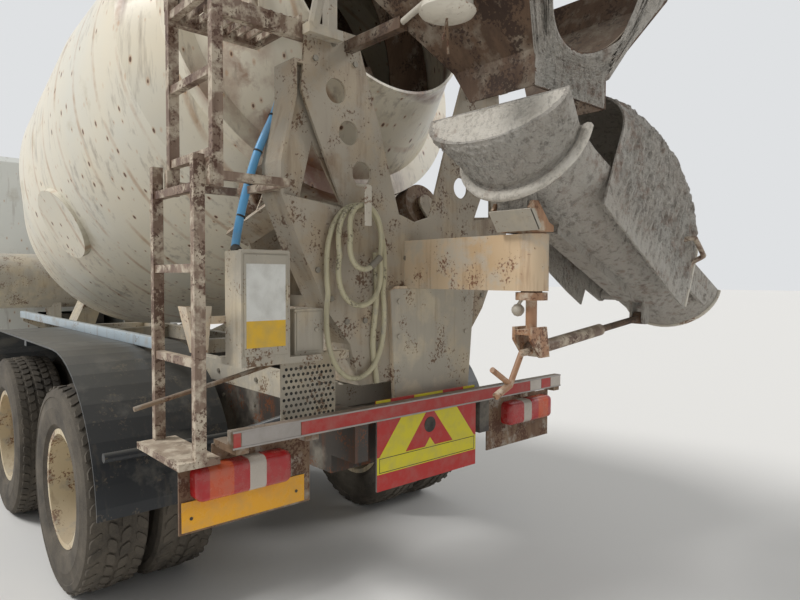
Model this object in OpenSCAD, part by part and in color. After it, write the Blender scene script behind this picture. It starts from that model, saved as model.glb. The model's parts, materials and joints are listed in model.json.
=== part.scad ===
// Concrete mixer truck, three axles, six cubic metre drum.
// Millimetres. +X to the front, +Y to the left, +Z up.
// The modules have X = 0 on the rearmost axle; placed() moves the middle of the truck's length there.

/* [Chassis] */
// Distance between the two driven axles
tandem_pitch = 1400; // [1350:10:1440]
// Distance from the rearmost axle to the steered axle
wheelbase = 4600; // [4450:10:4750]
// Distance between the outer faces of the frame rails
frame_w = 860; // [820:10:900]
// Height of a frame rail
rail_h = 270; // [240:5:290]
// Height of the frame rails' top over the ground
frame_top = 1000; // [990:5:1015]
// Height of the mixer's own frame on the rails
subframe_h = 120; // [100:5:125]

/* [Wheels] */
// Outer radius of a tyre
tyre_r = 522; // [515:1:530]
// Width of one tyre
tyre_w = 290; // [270:5:300]
// Distance between the middles of twin tyres
twin_pitch = 340; // [330:5:350]
// Outer face of the outermost tyre from the middle of the truck
track_half = 1235; // [1225:5:1245]
// Radius of the rim's flange
rim_r = 298; // [290:1:304]

/* [Cab] */
// Width of the cab
cab_w = 2300; // [2240:10:2360]
// Length of the cab's floor
cab_l = 1780; // [1740:10:1820]
// Underside of the cab over the ground
cab_z = 960; // [940:5:980]
// Height of the cab
cab_h = 1880; // [1800:10:1950]
// Thickness of walls and doors
wall_t = 45; // [35:1:55]

/* [Drum] */
// Slope of the drum's axis
drum_tilt = 15.7; // [14:0.1:17]
// Place of the mouth's centre along the truck
mouth_x = -1050; // [-1070:5:-1030]
// Height of the mouth's centre
mouth_z = 3007; // [2990:1:3030]
// Radius of the mouth
mouth_r = 550; // [530:5:560]
// Largest radius of the drum
drum_r = 1083; // [1060:1:1090]
// Thickness of the drum's shell
shell_t = 14; // [10:1:18]

/* [Chutes] */
// Place of the swivel post along the truck
post_x = -1970; // [-1990:5:-1950]
// Slope of the stowed chutes
chute_tilt = 24.5; // [22:0.5:27]
// Half the width of the main chute's trough
trough_r = 250; // [244:1:256]
// Depth of the main chute's trough
trough_d = 200; // [190:1:210]
// Length of the main chute along its slope
chute_l = 1400; // [1350:10:1430]
// Thickness of the chutes' sheet
sheet_t = 8; // [6:1:10]

/* [Rear] */
// Distance of the ladder's rungs from the middle of the truck
ladder_y = 1050; // [1030:5:1070]
// Width of the ladder between the outer faces of its stiles
ladder_w = 400; // [360:5:420]
// Half the length of the rear bar
bar_half = 1003; // [950:1:1050]

/* [Hidden] */
$fn = 48;
eps = 0.01;

// Places that several pieces share
hub_z = tyre_r;
front_x = wheelbase;
bumper_x = front_x + 1420;
cab_x1 = bumper_x - 60;
cab_x0 = cab_x1 - cab_l;
rail_y = frame_w / 2;
sub_top = frame_top + subframe_h;
outer_y = track_half - tyre_w / 2;
front_y = outer_y - 40;
king_y = front_y - 215;

// Middle of the length, between the towing jaw and the funnel's rim
funnel_back = -2300;
mid_x = (bumper_x + 30 + funnel_back) / 2;

module placed() {
    translate([-mid_x, 0, 0]) children();
}

// Drum: each row is [distance from the mouth along the axis, outer radius]
DRUM_S = 0;
DRUM_R = 1;
drum_rows = [
    [0, mouth_r], [60, mouth_r + 12], [847, drum_r - 83], [1695, drum_r], [2697, drum_r],
    [3438, drum_r - 160], [3560, drum_r - 330], [3650, drum_r - 560], [3700, 260]
];
ring_s = 520;
ring_w = 80;
ring_r = 905;
roller_r = 130;
roller_w = 110;
roller_turn = 28;
gear_s = 3700;

// Chutes: the trough's local frame has +S down the slope and +H square to it
trough_y0 = 60;
trough_z0 = 2110;
chute_x = post_x + 10;
pin_y = 100;
pin_z = 1850;
fold_s = chute_l - 200;
fold_h = -120;
strut_y = -30;
strut_z = 1310;
eye_s = chute_l - 260;
eye_h = -262;
eye_y = trough_y0 - eye_s * cos(chute_tilt) - eye_h * sin(chute_tilt);
eye_z = trough_z0 - eye_s * sin(chute_tilt) + eye_h * cos(chute_tilt);
arm_z0 = 1540;
arm_z1 = 1760;

module mirror_y() {
    children();
    mirror([0, 1, 0]) children();
}

// A box given by two corners
module span(a, b) {
    translate([min(a[0], b[0]), min(a[1], b[1]), min(a[2], b[2])])
        cube([abs(b[0] - a[0]), abs(b[1] - a[1]), abs(b[2] - a[2])]);
}

// A round bar between two points
module rod(a, b, r) {
    d = b - a;
    l = norm(d);
    translate(a)
        rotate([0, acos(d[2] / l), atan2(d[1], d[0])])
            cylinder(r = r, h = l);
}

// A plate in the YZ plane from its outline, its rear face at x
module plate_yz(x, t, pts) {
    translate([x, 0, 0])
        rotate([90, 0, 90])
            linear_extrude(t) polygon(pts);
}

// Children in the drum's frame: +Z from the mouth down the axis to the gearbox
module in_drum() {
    translate([mouth_x, 0, mouth_z])
        rotate([0, 90 + drum_tilt, 0]) children();
}

// Frame rails with their cross members
module chassis_frame() {
    color("#3a3836") {
        difference() {
            union() {
                mirror_y() span([-1190, rail_y - 80, frame_top - rail_h], [bumper_x - 330, rail_y, frame_top]);
                for (x = [-1190, 700, 2300, 3500, bumper_x - 450])
                    span([x, -rail_y + 60, frame_top - rail_h + 30], [x + 120, rail_y - 60, frame_top - 30]);
                span([-1230, -rail_y, frame_top - rail_h], [-1190, rail_y, frame_top]);
                // Towing jaw in front
                span([bumper_x - 330, -90, frame_top - rail_h - 40], [bumper_x + 30, 90, frame_top - rail_h + 60]);
                span([bumper_x - 450, -rail_y + 60, frame_top - rail_h - 40],
                    [bumper_x - 330, rail_y - 60, frame_top - rail_h + 60]);
                // Seats of the cab
                for (x = [cab_x0 + 30, cab_x1 - 420])
                    mirror_y() span([x, rail_y - 1, cab_z - 70], [x + 120, rail_y + 55, cab_z - 0.3]);
                // Arms of the rear bar
                mirror_y() span([-1400, rail_y - 70, frame_top - 190], [-1190, rail_y, frame_top + 20]);
            }
            // Open inner sides of the channels
            mirror_y() span([-1150, rail_y - 80 - eps, frame_top - rail_h + 9], [650, rail_y - 9, frame_top - 9]);
            translate([bumper_x - 10, 0, frame_top - rail_h - 60]) cylinder(r = 20, h = 140);
            span([bumper_x - 60, -100, frame_top - rail_h - 12], [bumper_x + 40, 100, frame_top - rail_h + 32]);
        }
    }
}

// Mixer's own frame, on the rails
module mixer_subframe() {
    color("#b9b4a6") {
        mirror_y() span([-1180, rail_y - 75, frame_top], [3350, rail_y, sub_top]);
        for (x = [-1180, -700, 1100, 2600, 3250])
            span([x, -rail_y + 60, frame_top], [x + 90, rail_y - 60, sub_top - 15]);
    }
}

// Steered axle beam with its leaf springs
module front_axle() {
    color("#33312f") {
        translate([front_x, 0, 0]) {
            span([-45, -king_y + 55, hub_z - 90], [45, king_y - 55, hub_z - 10]);
            mirror_y() {
                span([-50, king_y - 60, hub_z - 70], [50, king_y - 5, hub_z - 22]);
                translate([0, king_y, hub_z - 70]) cylinder(r = 36, h = 48);
                // King pin
                translate([0, king_y, hub_z - 135]) cylinder(r = 17.8, h = 180);
                span([-800, rail_y - 75, hub_z + 30], [800, rail_y - 5, hub_z + 90]);
                span([-60, rail_y - 80, hub_z - 15], [60, rail_y, hub_z + 35]);
                for (x = [-760, 700])
                    span([x, rail_y - 70, hub_z + 85], [x + 60, rail_y - 10, frame_top - rail_h]);
            }
        }
    }
}

// Driven axle: beam, differential and the spring seat
module driven_axle(x) {
    translate([x, 0, hub_z]) {
        rotate([90, 0, 0]) cylinder(r = 75, h = 2 * (outer_y - 310.5), center = true);
        difference() {
            sphere(r = 215);
            mirror_y() span([-300, 160, -300], [300, 300, 300]);
        }
        rotate([90, 0, 90]) cylinder(r = 70, h = 300);
    }
}

// Both driven axles with the springs that share their load
module rear_axles() {
    color("#33312f") {
        for (x = [0, tandem_pitch]) driven_axle(x);
        mirror_y() {
            span([-90, rail_y - 85, hub_z + 70], [tandem_pitch + 90, rail_y - 5, hub_z + 150]);
            span([tandem_pitch / 2 - 130, rail_y - 85, hub_z + 60], [tandem_pitch / 2 + 130, rail_y - 5,
                frame_top - rail_h]);
            for (x = [0, tandem_pitch])
                span([x - 70, rail_y - 85, hub_z + 20], [x + 70, rail_y - 5, hub_z + 75]);
        }
    }
}

// Knuckle with its stub, left side; the king pin is vertical
module knuckle() {
    color("#33312f")
        difference() {
            union() {
                for (z = [hub_z - 130, hub_z - 14])
                    translate([front_x, king_y, z]) cylinder(r = 48, h = 52);
                span([front_x - 45, king_y + 42, hub_z - 130], [front_x + 45, king_y + 92, hub_z + 38]);
                translate([front_x, king_y + 90, hub_z]) rotate([-90, 0, 0]) cylinder(r = 42, h = 135.5);
                span([front_x - 230, king_y - 20, hub_z - 128], [front_x - 40, king_y + 20, hub_z - 92]);
            }
            translate([front_x, king_y, hub_z - 200]) cylinder(r = 18, h = 300);
        }
}

module knuckle_left() { knuckle(); }

module knuckle_right() { mirror([0, 1, 0]) knuckle(); }

// Tyre section, lying on its side; [radius, half-width] rows of one half
tyre_rows = [
    [rim_r - 6, tyre_w / 2 - 45], [rim_r + 25, tyre_w / 2 - 12], [rim_r + 110, tyre_w / 2],
    [tyre_r - 60, tyre_w / 2 - 6], [tyre_r - 18, tyre_w / 2 - 16], [tyre_r, tyre_w / 2 - 42]
];

// One tyre with its axis along Y, its middle at the origin
module tyre() {
    outline = concat(
        [for (r = tyre_rows) [r[0], r[1]]],
        [for (i = [len(tyre_rows) - 1:-1:0]) [tyre_rows[i][0], -tyre_rows[i][1]]]
    );
    rotate([90, 0, 0]) rotate_extrude($fn = 72) polygon(outline);
}

// One rim with its disc; dish is the place of the disc's mounting face along +Y
rim_half = tyre_w / 2 - 25;
disc_t = 14;

module rim(dish) {
    rr = rim_r - 6;
    join = rim_half - 22;
    difference() {
        rotate([90, 0, 0])
            rotate_extrude($fn = 64)
                polygon([
                    [rr - 20, -rim_half], [rim_r + 1, -rim_half], [rim_r + 1, -rim_half + 9], [rr, -rim_half + 16],
                    [rr, rim_half - 16], [rim_r + 1, rim_half - 9], [rim_r + 1, rim_half], [rr - 20, rim_half],
                    [rr - 20, -join + disc_t], [170, -dish + disc_t], [88, -dish + disc_t], [88, -dish],
                    [175, -dish], [rr - 20, -join]
                ]);
        for (i = [0:9])
            rotate([0, 36 * i, 0])
                translate([218, (dish + join) / 2, 0])
                    rotate([90, 0, 0]) cylinder(r = 24, h = 140, center = true);
    }
}

module tyre_front(side) {
    color("#2c2a28") translate([front_x, side * front_y, hub_z]) tyre();
}

module tyre_twins(x, side) {
    color("#2c2a28")
        for (y = [outer_y, outer_y - twin_pitch])
            translate([x, side * y, hub_z]) tyre();
}

// Front rim with its hub and cap
module rim_front(side) {
    color("#d8cfb4")
        translate([front_x, side * front_y, hub_z])
            mirror([0, side < 0 ? 1 : 0, 0]) {
                rim(138);
                translate([0, 160, 0]) rotate([90, 0, 0]) cylinder(r = 105, h = 149);
                translate([0, 190, 0]) rotate([90, 0, 0]) cylinder(r = 72, h = 60);
            }
}

// Hub of a driven wheel: [radius, where it starts, where it ends], from the outer tyre's middle outwards
hub_rows = [[128, -310, -100], [100, -110, -30], [72, -40, 35]];

// Twin rims, disc to disc, with the hub through them
module rim_twins(x, side) {
    color("#d8cfb4")
        translate([x, side * outer_y, hub_z])
            mirror([0, side < 0 ? 1 : 0, 0]) {
                mirror([0, 1, 0]) rim(twin_pitch / 2);
                translate([0, -twin_pitch, 0]) rim(twin_pitch / 2);
                for (h = hub_rows)
                    translate([0, h[2], 0]) rotate([90, 0, 0]) cylinder(r = h[0], h = h[2] - h[1]);
            }
}

module tyre_front_left() { tyre_front(1); }

module tyre_front_right() { tyre_front(-1); }

module tyres_mid_left() { tyre_twins(tandem_pitch, 1); }

module tyres_mid_right() { tyre_twins(tandem_pitch, -1); }

module tyres_rear_left() { tyre_twins(0, 1); }

module tyres_rear_right() { tyre_twins(0, -1); }

module rim_front_left() { rim_front(1); }

module rim_front_right() { rim_front(-1); }

module rims_mid_left() { rim_twins(tandem_pitch, 1); }

module rims_mid_right() { rim_twins(tandem_pitch, -1); }

module rims_rear_left() { rim_twins(0, 1); }

module rims_rear_right() { rim_twins(0, -1); }

// Cab: side outline, [x from the cab's rear, z from its underside]
cab_side = [
    [0, 0], [cab_l, 0], [cab_l, 620], [cab_l - 150, cab_h - 180], [cab_l - 330, cab_h], [60, cab_h],
    [0, cab_h - 60]
];
door_x0 = cab_x1 - 1290;
door_x1 = cab_x1 - 190;
door_z0 = cab_z + 60;
door_z1 = cab_z + cab_h - 200;
sill_z = cab_z + 900;

// Door outline in the XZ plane, grown by g
module door_outline(g) {
    polygon([
        [door_x0 - g, door_z0 - g], [door_x1 + g, door_z0 - g], [door_x1 + g, cab_z + 640],
        [door_x1 - 105 + g, door_z1 + g], [door_x0 - g, door_z1 + g]
    ]);
}

// Door window in the XZ plane, shrunk by g
module door_window(g) {
    polygon([
        [door_x0 + 70 + g, sill_z + g], [door_x1 - 75 - g, sill_z + g],
        [door_x1 - 150 - g, door_z1 - 70 - g], [door_x0 + 70 + g, door_z1 - 70 - g]
    ]);
}

// The cab's outline pushed in by g, as a closed prism of half width w
module cab_prism(g, w) {
    translate([cab_x0, w, cab_z])
        rotate([90, 0, 0])
            linear_extrude(2 * w)
                polygon([
                    [g, g], [cab_l - g, g], [cab_l - g, 620 - g / 8], [cab_l - 150 - g, cab_h - 185],
                    [cab_l - 330 - g / 2, cab_h - g], [60 + g / 2, cab_h - g], [g, cab_h - 60 - g / 2]
                ]);
}

// Front wheel arches
arch_r = 640;
arch_top = hub_z + arch_r + 40;

module arch_space(r) {
    translate([front_x, rail_y + 60, hub_z]) rotate([-90, 0, 0]) cylinder(r = r, h = 900);
}

// Room that the engine takes under the cab's floor
module tunnel_space() {
    span([cab_x0 - 5, -rail_y - 15, cab_z - 5], [cab_x1 - 380, rail_y + 15, cab_z + 240]);
}

// Door hinges: axis just ahead of the door and outside its skin
hinge_x = door_x1 + 3;
hinge_y = cab_w / 2 + 12;
hinge_z = [cab_z + 230, cab_z + 560];

module hinge_barrel(z, h) {
    translate([hinge_x, hinge_y, z]) cylinder(r = 12, h = h);
}

// Cab shell: floor, roof, rear wall and front, with door and window openings
module cab_shell() {
    color("#d9d2bf")
        difference() {
            cab_prism(0, cab_w / 2);
            cab_prism(wall_t, cab_w / 2 - wall_t);
            // Door openings
            for (y = [-cab_w / 2 + wall_t + 1, cab_w / 2 + 1])
                translate([0, y, 0]) rotate([90, 0, 0]) linear_extrude(wall_t + 2) door_outline(6);
            // Windscreen
            translate([cab_x1 - 400, 0, 0])
                span([0, -cab_w / 2 + 110, cab_z + 800], [500, cab_w / 2 - 110, cab_z + cab_h - 260]);
            // Rear window
            span([cab_x0 - 5, -400, sill_z + 150], [cab_x0 + wall_t + 5, 400, door_z1 - 100]);
            // Engine tunnel and room for the frame from below
            tunnel_space();
            span([cab_x0 - 5, -rail_y - 15, cab_z - 5], [cab_x1 - 200, rail_y + 15, frame_top + 15]);
            // Front wheel arches
            mirror_y() arch_space(arch_r);
        }
    color("#d9d2bf") {
        // Inner covers of the front wheel arches
        intersection() {
            cab_prism(0, cab_w / 2);
            mirror_y() difference() {
                arch_space(arch_r + 40);
                translate([0, -1, 0]) arch_space(arch_r);
                span([0, cab_w / 2 - wall_t - 8, 0], [9000, 2000, 3000]);
            }
        }
        // Engine tunnel's cover
        difference() {
            span([cab_x0 + 10, -rail_y - 50, cab_z + wall_t - 5], [cab_x1 - 160, rail_y + 50, cab_z + 280]);
            tunnel_space();
            span([cab_x0 - 5, -rail_y - 15, cab_z - 5], [cab_x1 - 200, rail_y + 15, frame_top + 15]);
        }
        // Hinge barrels at the front edges of the doors
        mirror_y() for (z = hinge_z) {
            hinge_barrel(z - 31, 30);
            hinge_barrel(z + 61, 30);
            for (h = [z - 31, z + 61]) span([hinge_x, hinge_y - 14, h], [hinge_x + 26, hinge_y - 2, h + 30]);
        }
    }
}

// Door leaf, left side
module door_leaf() {
    color("#d9d2bf")
        difference() {
            union() {
                translate([0, cab_w / 2, 0]) rotate([90, 0, 0]) linear_extrude(wall_t) door_outline(0);
                span([door_x0 + 70, cab_w / 2 - 5, sill_z - 120], [door_x0 + 210, cab_w / 2 + 28, sill_z - 90]);
                for (z = hinge_z) {
                    hinge_barrel(z, 60);
                    span([hinge_x - 40, cab_w / 2 - 5, z], [hinge_x - 6, hinge_y + 6, z + 60]);
                }
            }
            translate([0, cab_w / 2 + 1, 0]) rotate([90, 0, 0]) linear_extrude(wall_t + 2) door_window(0);
            arch_space(arch_r + 6);
        }
}

module door_left() { door_leaf(); }

module door_right() { mirror([0, 1, 0]) door_leaf(); }

module door_pane() {
    color([0.3, 0.4, 0.42, 0.5])
        translate([0, cab_w / 2 - 15, 0]) rotate([90, 0, 0]) linear_extrude(5) door_window(0.2);
}

module door_glass_left() { door_pane(); }

module door_glass_right() { mirror([0, 1, 0]) door_pane(); }

// Windscreen and rear window
module cab_glass() {
    color([0.3, 0.4, 0.42, 0.5]) {
        intersection() {
            difference() {
                cab_prism(12, cab_w / 2 - 100);
                cab_prism(18, cab_w / 2);
            }
            span([cab_x1 - 400, -cab_w / 2 + 110.2, cab_z + 800.2],
                [cab_x1 + 10, cab_w / 2 - 110.2, cab_z + cab_h - 260.2]);
        }
        span([cab_x0 + 15, -399.8, sill_z + 150.2], [cab_x0 + 21, 399.8, door_z1 - 100.2]);
    }
}

// Seats, dashboard and steering wheel, right-hand drive
module cab_interior() {
    color("#2f2f33") {
        for (y = [-740, 740]) translate([cab_x0 + 420, y, arch_top]) {
            span([0, -235, 120], [520, 235, 250]);
            span([-120, -225, 240], [20, 225, 840]);
            span([-60, -150, 0], [340, 150, 130]);
        }
        span([cab_x1 - 400, -cab_w / 2 + 110, cab_z + 400], [cab_x1 - wall_t, cab_w / 2 - 110, cab_z + 600]);
        span([cab_x1 - 380, -cab_w / 2 + 130, cab_z + 590], [cab_x1 - 90, cab_w / 2 - 130, cab_z + 700]);
        translate([cab_x1 - 560, -640, cab_z + 690]) rotate([0, -55, 0]) {
            rotate_extrude($fn = 40) translate([215, 0]) circle(r = 15, $fn = 16);
            cube([410, 40, 14], center = true);
            translate([0, 0, -230]) cylinder(r = 28, h = 235);
        }
    }
}

// Bumper with its step and the lamps' recesses, and the grille above it
module front_bumper() {
    color("#4a4a48") {
        difference() {
            span([bumper_x - 180, -cab_w / 2 - 30, 430], [bumper_x, cab_w / 2 + 30, cab_z - 20]);
            span([bumper_x - 400, -cab_w / 2 + 90, 400], [bumper_x - 60, cab_w / 2 - 90, cab_z]);
            mirror_y() span([bumper_x - 30, 700, 600], [bumper_x + 5, 1040, 790]);
            // Recess of the towing jaw, open upwards for its pin
            span([bumper_x - 70, -130, frame_top - rail_h - 60], [bumper_x + 5, 130, cab_z]);
        }
        mirror_y() span([bumper_x - 330, rail_y - 60, 770], [bumper_x - 50, rail_y - 10, 830]);
    }
    color("#2b2b2b")
        for (z = [cab_z + 150:70:cab_z + 500])
            span([cab_x1, -820, z], [cab_x1 + 28, 820, z + 40]);
}

// Mirrors on their arms
module mirrors() {
    color("#262626")
        mirror_y() {
            span([cab_x1 - 60, cab_w / 2 + 90, cab_z + 1020], [cab_x1 - 10, cab_w / 2 + 260, cab_z + 1430]);
            for (z = [cab_z + 1080, cab_z + 1380]) {
                rod([cab_x1 - 40, cab_w / 2 + 100, z], [cab_x1 - 128, cab_w / 2 + 9, z], 10);
                span([cab_x1 - 158, cab_w / 2 + 0.3, z - 22], [cab_x1 - 112, cab_w / 2 + 12, z + 22]);
            }
        }
}

module engine_block() {
    color("#5a5a58") {
        span([cab_x0 + 250, -300, 640], [cab_x1 - 480, 300, cab_z + 200]);
        for (x = [cab_x0 + 320, cab_x1 - 600])
            span([x, -rail_y + 80, frame_top - 200], [x + 80, rail_y - 80, frame_top - 80]);
    }
}

// Fuel tank, battery box and air tanks beside the frame, ahead of the wings
tank_x = tandem_pitch + 840;

module side_tanks() {
    color("#8d8c88") translate([tank_x, 0, 0]) {
        translate([410, rail_y + 330, 700]) rotate([0, 90, 0]) cylinder(r = 300, h = 900, center = true);
        span([0, -rail_y - 620, 520], [600, -rail_y - 30, 980]);
        for (z = [640, 860])
            translate([1010, -rail_y - 200, z]) rotate([0, 90, 0]) cylinder(r = 105, h = 640, center = true);
        for (x = [110, 610]) span([x, rail_y, 640], [x + 60, rail_y + 60, 940]);
        for (x = [110, 460]) span([x, -rail_y - 40, 740], [x + 60, -rail_y, 940]);
        for (x = [770, 1190]) span([x, -rail_y - 150, 600], [x + 40, -rail_y, 900]);
    }
}

// Water tank across the truck behind the cab
module water_tank() {
    color("#c9c4b4") {
        translate([3720, 0, sub_top + 420]) rotate([90, 0, 0]) cylinder(r = 270, h = 1900, center = true);
        mirror_y() span([3560, rail_y - 70, frame_top], [3880, rail_y, sub_top + 260]);
    }
}

// Pedestal under the gearbox, gearbox and its motor
module front_pedestal() {
    gx = mouth_x + gear_s * cos(drum_tilt);
    gz = mouth_z - gear_s * sin(drum_tilt);
    color("#b9b4a6")
        mirror_y()
            plate_yz(gx + 230, 260, [
                [rail_y - 150, sub_top], [rail_y, sub_top], [rail_y, sub_top + 60], [210, gz - 330], [60, gz - 330],
                [60, gz - 420], [140, gz - 480]
            ]);
    color("#6e6c66") {
        difference() {
            in_drum() translate([0, 0, gear_s + 45]) cylinder(r = 215, h = 420);
            span([gx - 500, -400, 0], [gx + 1200, 400, gz - 330]);
        }
        span([gx + 230, -210, gz - 335], [gx + 490, 210, gz - 200]);
        in_drum() translate([0, 0, gear_s + 0.3]) cylinder(r = 120, h = 60);
    }
}

// Drum shell with its closed head, running ring and hatch
module drum_shell() {
    outer = [for (r = drum_rows) [r[DRUM_R], r[DRUM_S]]];
    inner = [for (i = [len(drum_rows) - 1:-1:0])
        [max(drum_rows[i][DRUM_R] - shell_t, 0), drum_rows[i][DRUM_S] - (i > 5 ? shell_t : 0)]];
    color("#d9d2bf")
        in_drum() {
            rotate_extrude($fn = 96)
                polygon(concat(outer, [[0, gear_s]], [[0, gear_s - shell_t]], inner));
            // Running ring, welded round the cone
            rotate_extrude($fn = 96)
                polygon([
                    [drum_in(ring_s - ring_w / 2) + 8, ring_s - ring_w / 2], [ring_r, ring_s - ring_w / 2],
                    [ring_r, ring_s + ring_w / 2], [drum_in(ring_s + ring_w / 2) + 8, ring_s + ring_w / 2]
                ]);
            // Hatch on the belly
            difference() {
                rotate([0, 0, 62]) translate([drum_r - 30, 0, 2200]) rotate([0, 90, 0]) cylinder(r = 230, h = 50);
                translate([0, 0, 1900]) cylinder(r = drum_r - shell_t / 2, h = 600, $fn = 96);
            }
        }
}

// Radius inside the drum at distance s from the mouth
function drum_in(s) = lookup(s, [for (r = drum_rows) [r[DRUM_S], r[DRUM_R]]]) - shell_t - 1.5;

// One helical blade: pitch is its advance in a turn, depth its height off the shell
// Outer radius of the blades: seated on the cylinder of the drum, and just clear of its cones
function blade_r(s) = drum_in(s) - (s > drum_rows[3][DRUM_S] + 60 && s < drum_rows[4][DRUM_S] - 60 ? 0 : 9);

module blade(start, pitch, depth, s0, s1, steps) {
    t = 8;
    pts = [for (i = [0:steps])
        let (s = s0 + (s1 - s0) * i / steps, a = start + 360 * (s - s0) / pitch,
            r = min(blade_r(s), blade_r(s + t)), q = r - depth)
        each [
            [r * cos(a), r * sin(a), s], [q * cos(a), q * sin(a), s + 60],
            [q * cos(a), q * sin(a), s + 60 + t], [r * cos(a), r * sin(a), s + t]
        ]];
    faces = concat(
        [[0, 1, 2, 3]],
        [for (i = [0:steps - 1], k = [0:3])
            let (b = 4 * i, n = (k + 1) % 4) each [[b + k, b + 4 + k, b + 4 + n], [b + k, b + 4 + n, b + n]]],
        [[4 * steps + 3, 4 * steps + 2, 4 * steps + 1, 4 * steps]]
    );
    polyhedron(pts, faces, convexity = 10);
}

module drum_blades() {
    color("#8a8378")
        in_drum() for (a = [0, 180]) blade(a, 1500, 260, 120, 3200, 66);
}

// Roller under the running ring, its axle through it
module roller() {
    in_drum()
        rotate([0, 0, roller_turn])
            translate([ring_r + roller_r + 0.3, 0, ring_s])
                difference() {
                    union() {
                        cylinder(r = roller_r, h = roller_w, center = true);
                        cylinder(r = 60, h = roller_w + 20, center = true);
                    }
                    cylinder(r = 30, h = roller_w + 40, center = true);
                }
}

module support_roller_left() { color("#6e6c66") roller(); }

module support_roller_right() { color("#6e6c66") mirror([0, 1, 0]) roller(); }

// Rear pedestal: its outer edge [y, z] from the sill up, and the holes along its arm [y, z]
ped_x0 = -1300;
ped_edge = [
    [330, sub_top - 5], [380, 1300], [487, 1431], [620, 1692], [721, 1920], [720, 2050], [660, 2320],
    [660, 2460]
];
ped_holes = [[317, 2040], [388, 2205], [455, 2370]];
ped_depth = 150;
ped_t = 14;

module rear_pedestal() {
    color("#d0c7b0")
        mirror_y() {
            // Face with its arm up to the platform
            difference() {
                plate_yz(ped_x0, ped_t, concat(
                    [[0, sub_top - 5]],
                    [for (i = [0:4]) ped_edge[i] - [6, 0]],
                    [[414, 1885], [556, 2187], [627, 2346], [600, 2624], [345, 2624], [215, 2245], [100, 1881],
                        [0, 1850]]
                ));
                for (h = ped_holes)
                    translate([ped_x0 - 5, h[0], h[1]]) rotate([0, 90, 0]) cylinder(r = 52, h = 30);
            }
            // Outer side, and the web behind the face with its opening
            plate_yz(ped_x0, ped_depth, concat(
                ped_edge, [for (i = [len(ped_edge) - 1:-1:0]) ped_edge[i] - [ped_t, 0]]
            ));
            difference() {
                plate_yz(ped_x0 + 38, 12, [
                    [300, 1600], [560, 1600], [612, 1692], [713, 1920], [712, 2050], [652, 2320], [652, 2460],
                    [585, 2460], [440, 2100], [300, 1800]
                ]);
                plate_yz(ped_x0 + 30, 30, [[551, 2155], [400, 1900], [612, 1916]]);
            }
            span([ped_x0, 590, 2446], [ped_x0 + ped_depth, 655, 2460]);
            // Column under the rollers
            span([-1290, 300, sub_top - 5], [-700, 320, 1500]);
            plate_yz(-1290, 590, [[0, sub_top - 5], [320, sub_top - 5], [320, sub_top + 10], [0, sub_top + 10]]);
            plate_yz(-700, 14, [
                [0, sub_top - 5], [330, sub_top - 5], [380, 1431], [520, 1700], [560, 1850], [400, 1850], [300, 1700],
                [0, 1700]
            ]);
            // Bracket that carries the roller's axle
            in_drum() rotate([0, 0, roller_turn])
                for (s = [ring_s - roller_w / 2 - 36, ring_s + roller_w / 2 + 22])
                    translate([ring_r + roller_r + 0.3, 0, s])
                        union() {
                            cylinder(r = 55, h = 14);
                            translate([0, -55, 0]) cube([190, 110, 14]);
                        }
            in_drum() rotate([0, 0, roller_turn])
                translate([ring_r + roller_r + 0.3, 0, ring_s - roller_w / 2 - 36])
                    cylinder(r = 29.8, h = roller_w + 72);
            in_drum() rotate([0, 0, roller_turn])
                translate([ring_r + roller_r + 175, -60, ring_s - 200]) cube([20, 120, 400]);
            span([-1290, 380, 1700], [-690, 520, 1715]);
            span([-1290, 130, 1430], [-690, 400, 1445]);
        }
}

// A rectangular funnel of sheet t between two levels of [x0, x1, half width, z], lower level first
module chute_box(low, high, t) {
    function ring(f, g) = [
        [f[0] + g, -f[2] + g, f[3]], [f[1] - g, -f[2] + g, f[3]], [f[1] - g, f[2] - g, f[3]], [f[0] + g, f[2] - g, f[3]]
    ];
    pts = concat(ring(low, 0), ring(high, 0), ring(low, t), ring(high, t));
    faces = [for (i = [0:3]) let (k = (i + 1) % 4) each [
        [i, 4 + i, 4 + k, k], [8 + i, 8 + k, 12 + k, 12 + i],
        [i, k, 8 + k, 8 + i], [4 + i, 12 + i, 12 + k, 4 + k]
    ]];
    polyhedron(pts, faces, convexity = 4);
}

// Hopper over the drum's mouth: levels of [x0, x1, half width, z]
hopper_foot = [-1230, -1010, 200, 3190];
hopper_rim = [-1860, -1100, 500, 3780];
hopper_t = 8;

module feed_hopper() {
    color("#c9c4b4") {
        chute_box(hopper_foot, hopper_rim, hopper_t);
        // Band round the rim
        difference() {
            span([hopper_rim[0] - 20, -hopper_rim[2] - 20, 3735], [hopper_rim[1] + 20, hopper_rim[2] + 20, 3775]);
            span([hopper_rim[0] + 4, -hopper_rim[2] + 4, 3700], [hopper_rim[1] - 4, hopper_rim[2] - 4, 3800]);
        }
        mirror_y() {
            span([ped_x0 - 48, 484, 2590], [ped_x0 - 0.3, 524, 3750]);
            rod([-1330, 590, 2585], [-1700, 530, 3750], 24, $fn = 8);
            span([-1350, 455, 2560], [ped_x0 - 0.3, 620, 2600]);
        }
    }
}

// Funnel that gathers the discharge over the chute, open to the drum: levels of [z, rear x, front x, half width]
funnel_rows = [
    [2250, -2140, -1850, 235], [2375, -2140, -1765, 235], [2700, -2262, -1520, 480], [2860, funnel_back, -1400, 530]
];
funnel_t = 7;

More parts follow.
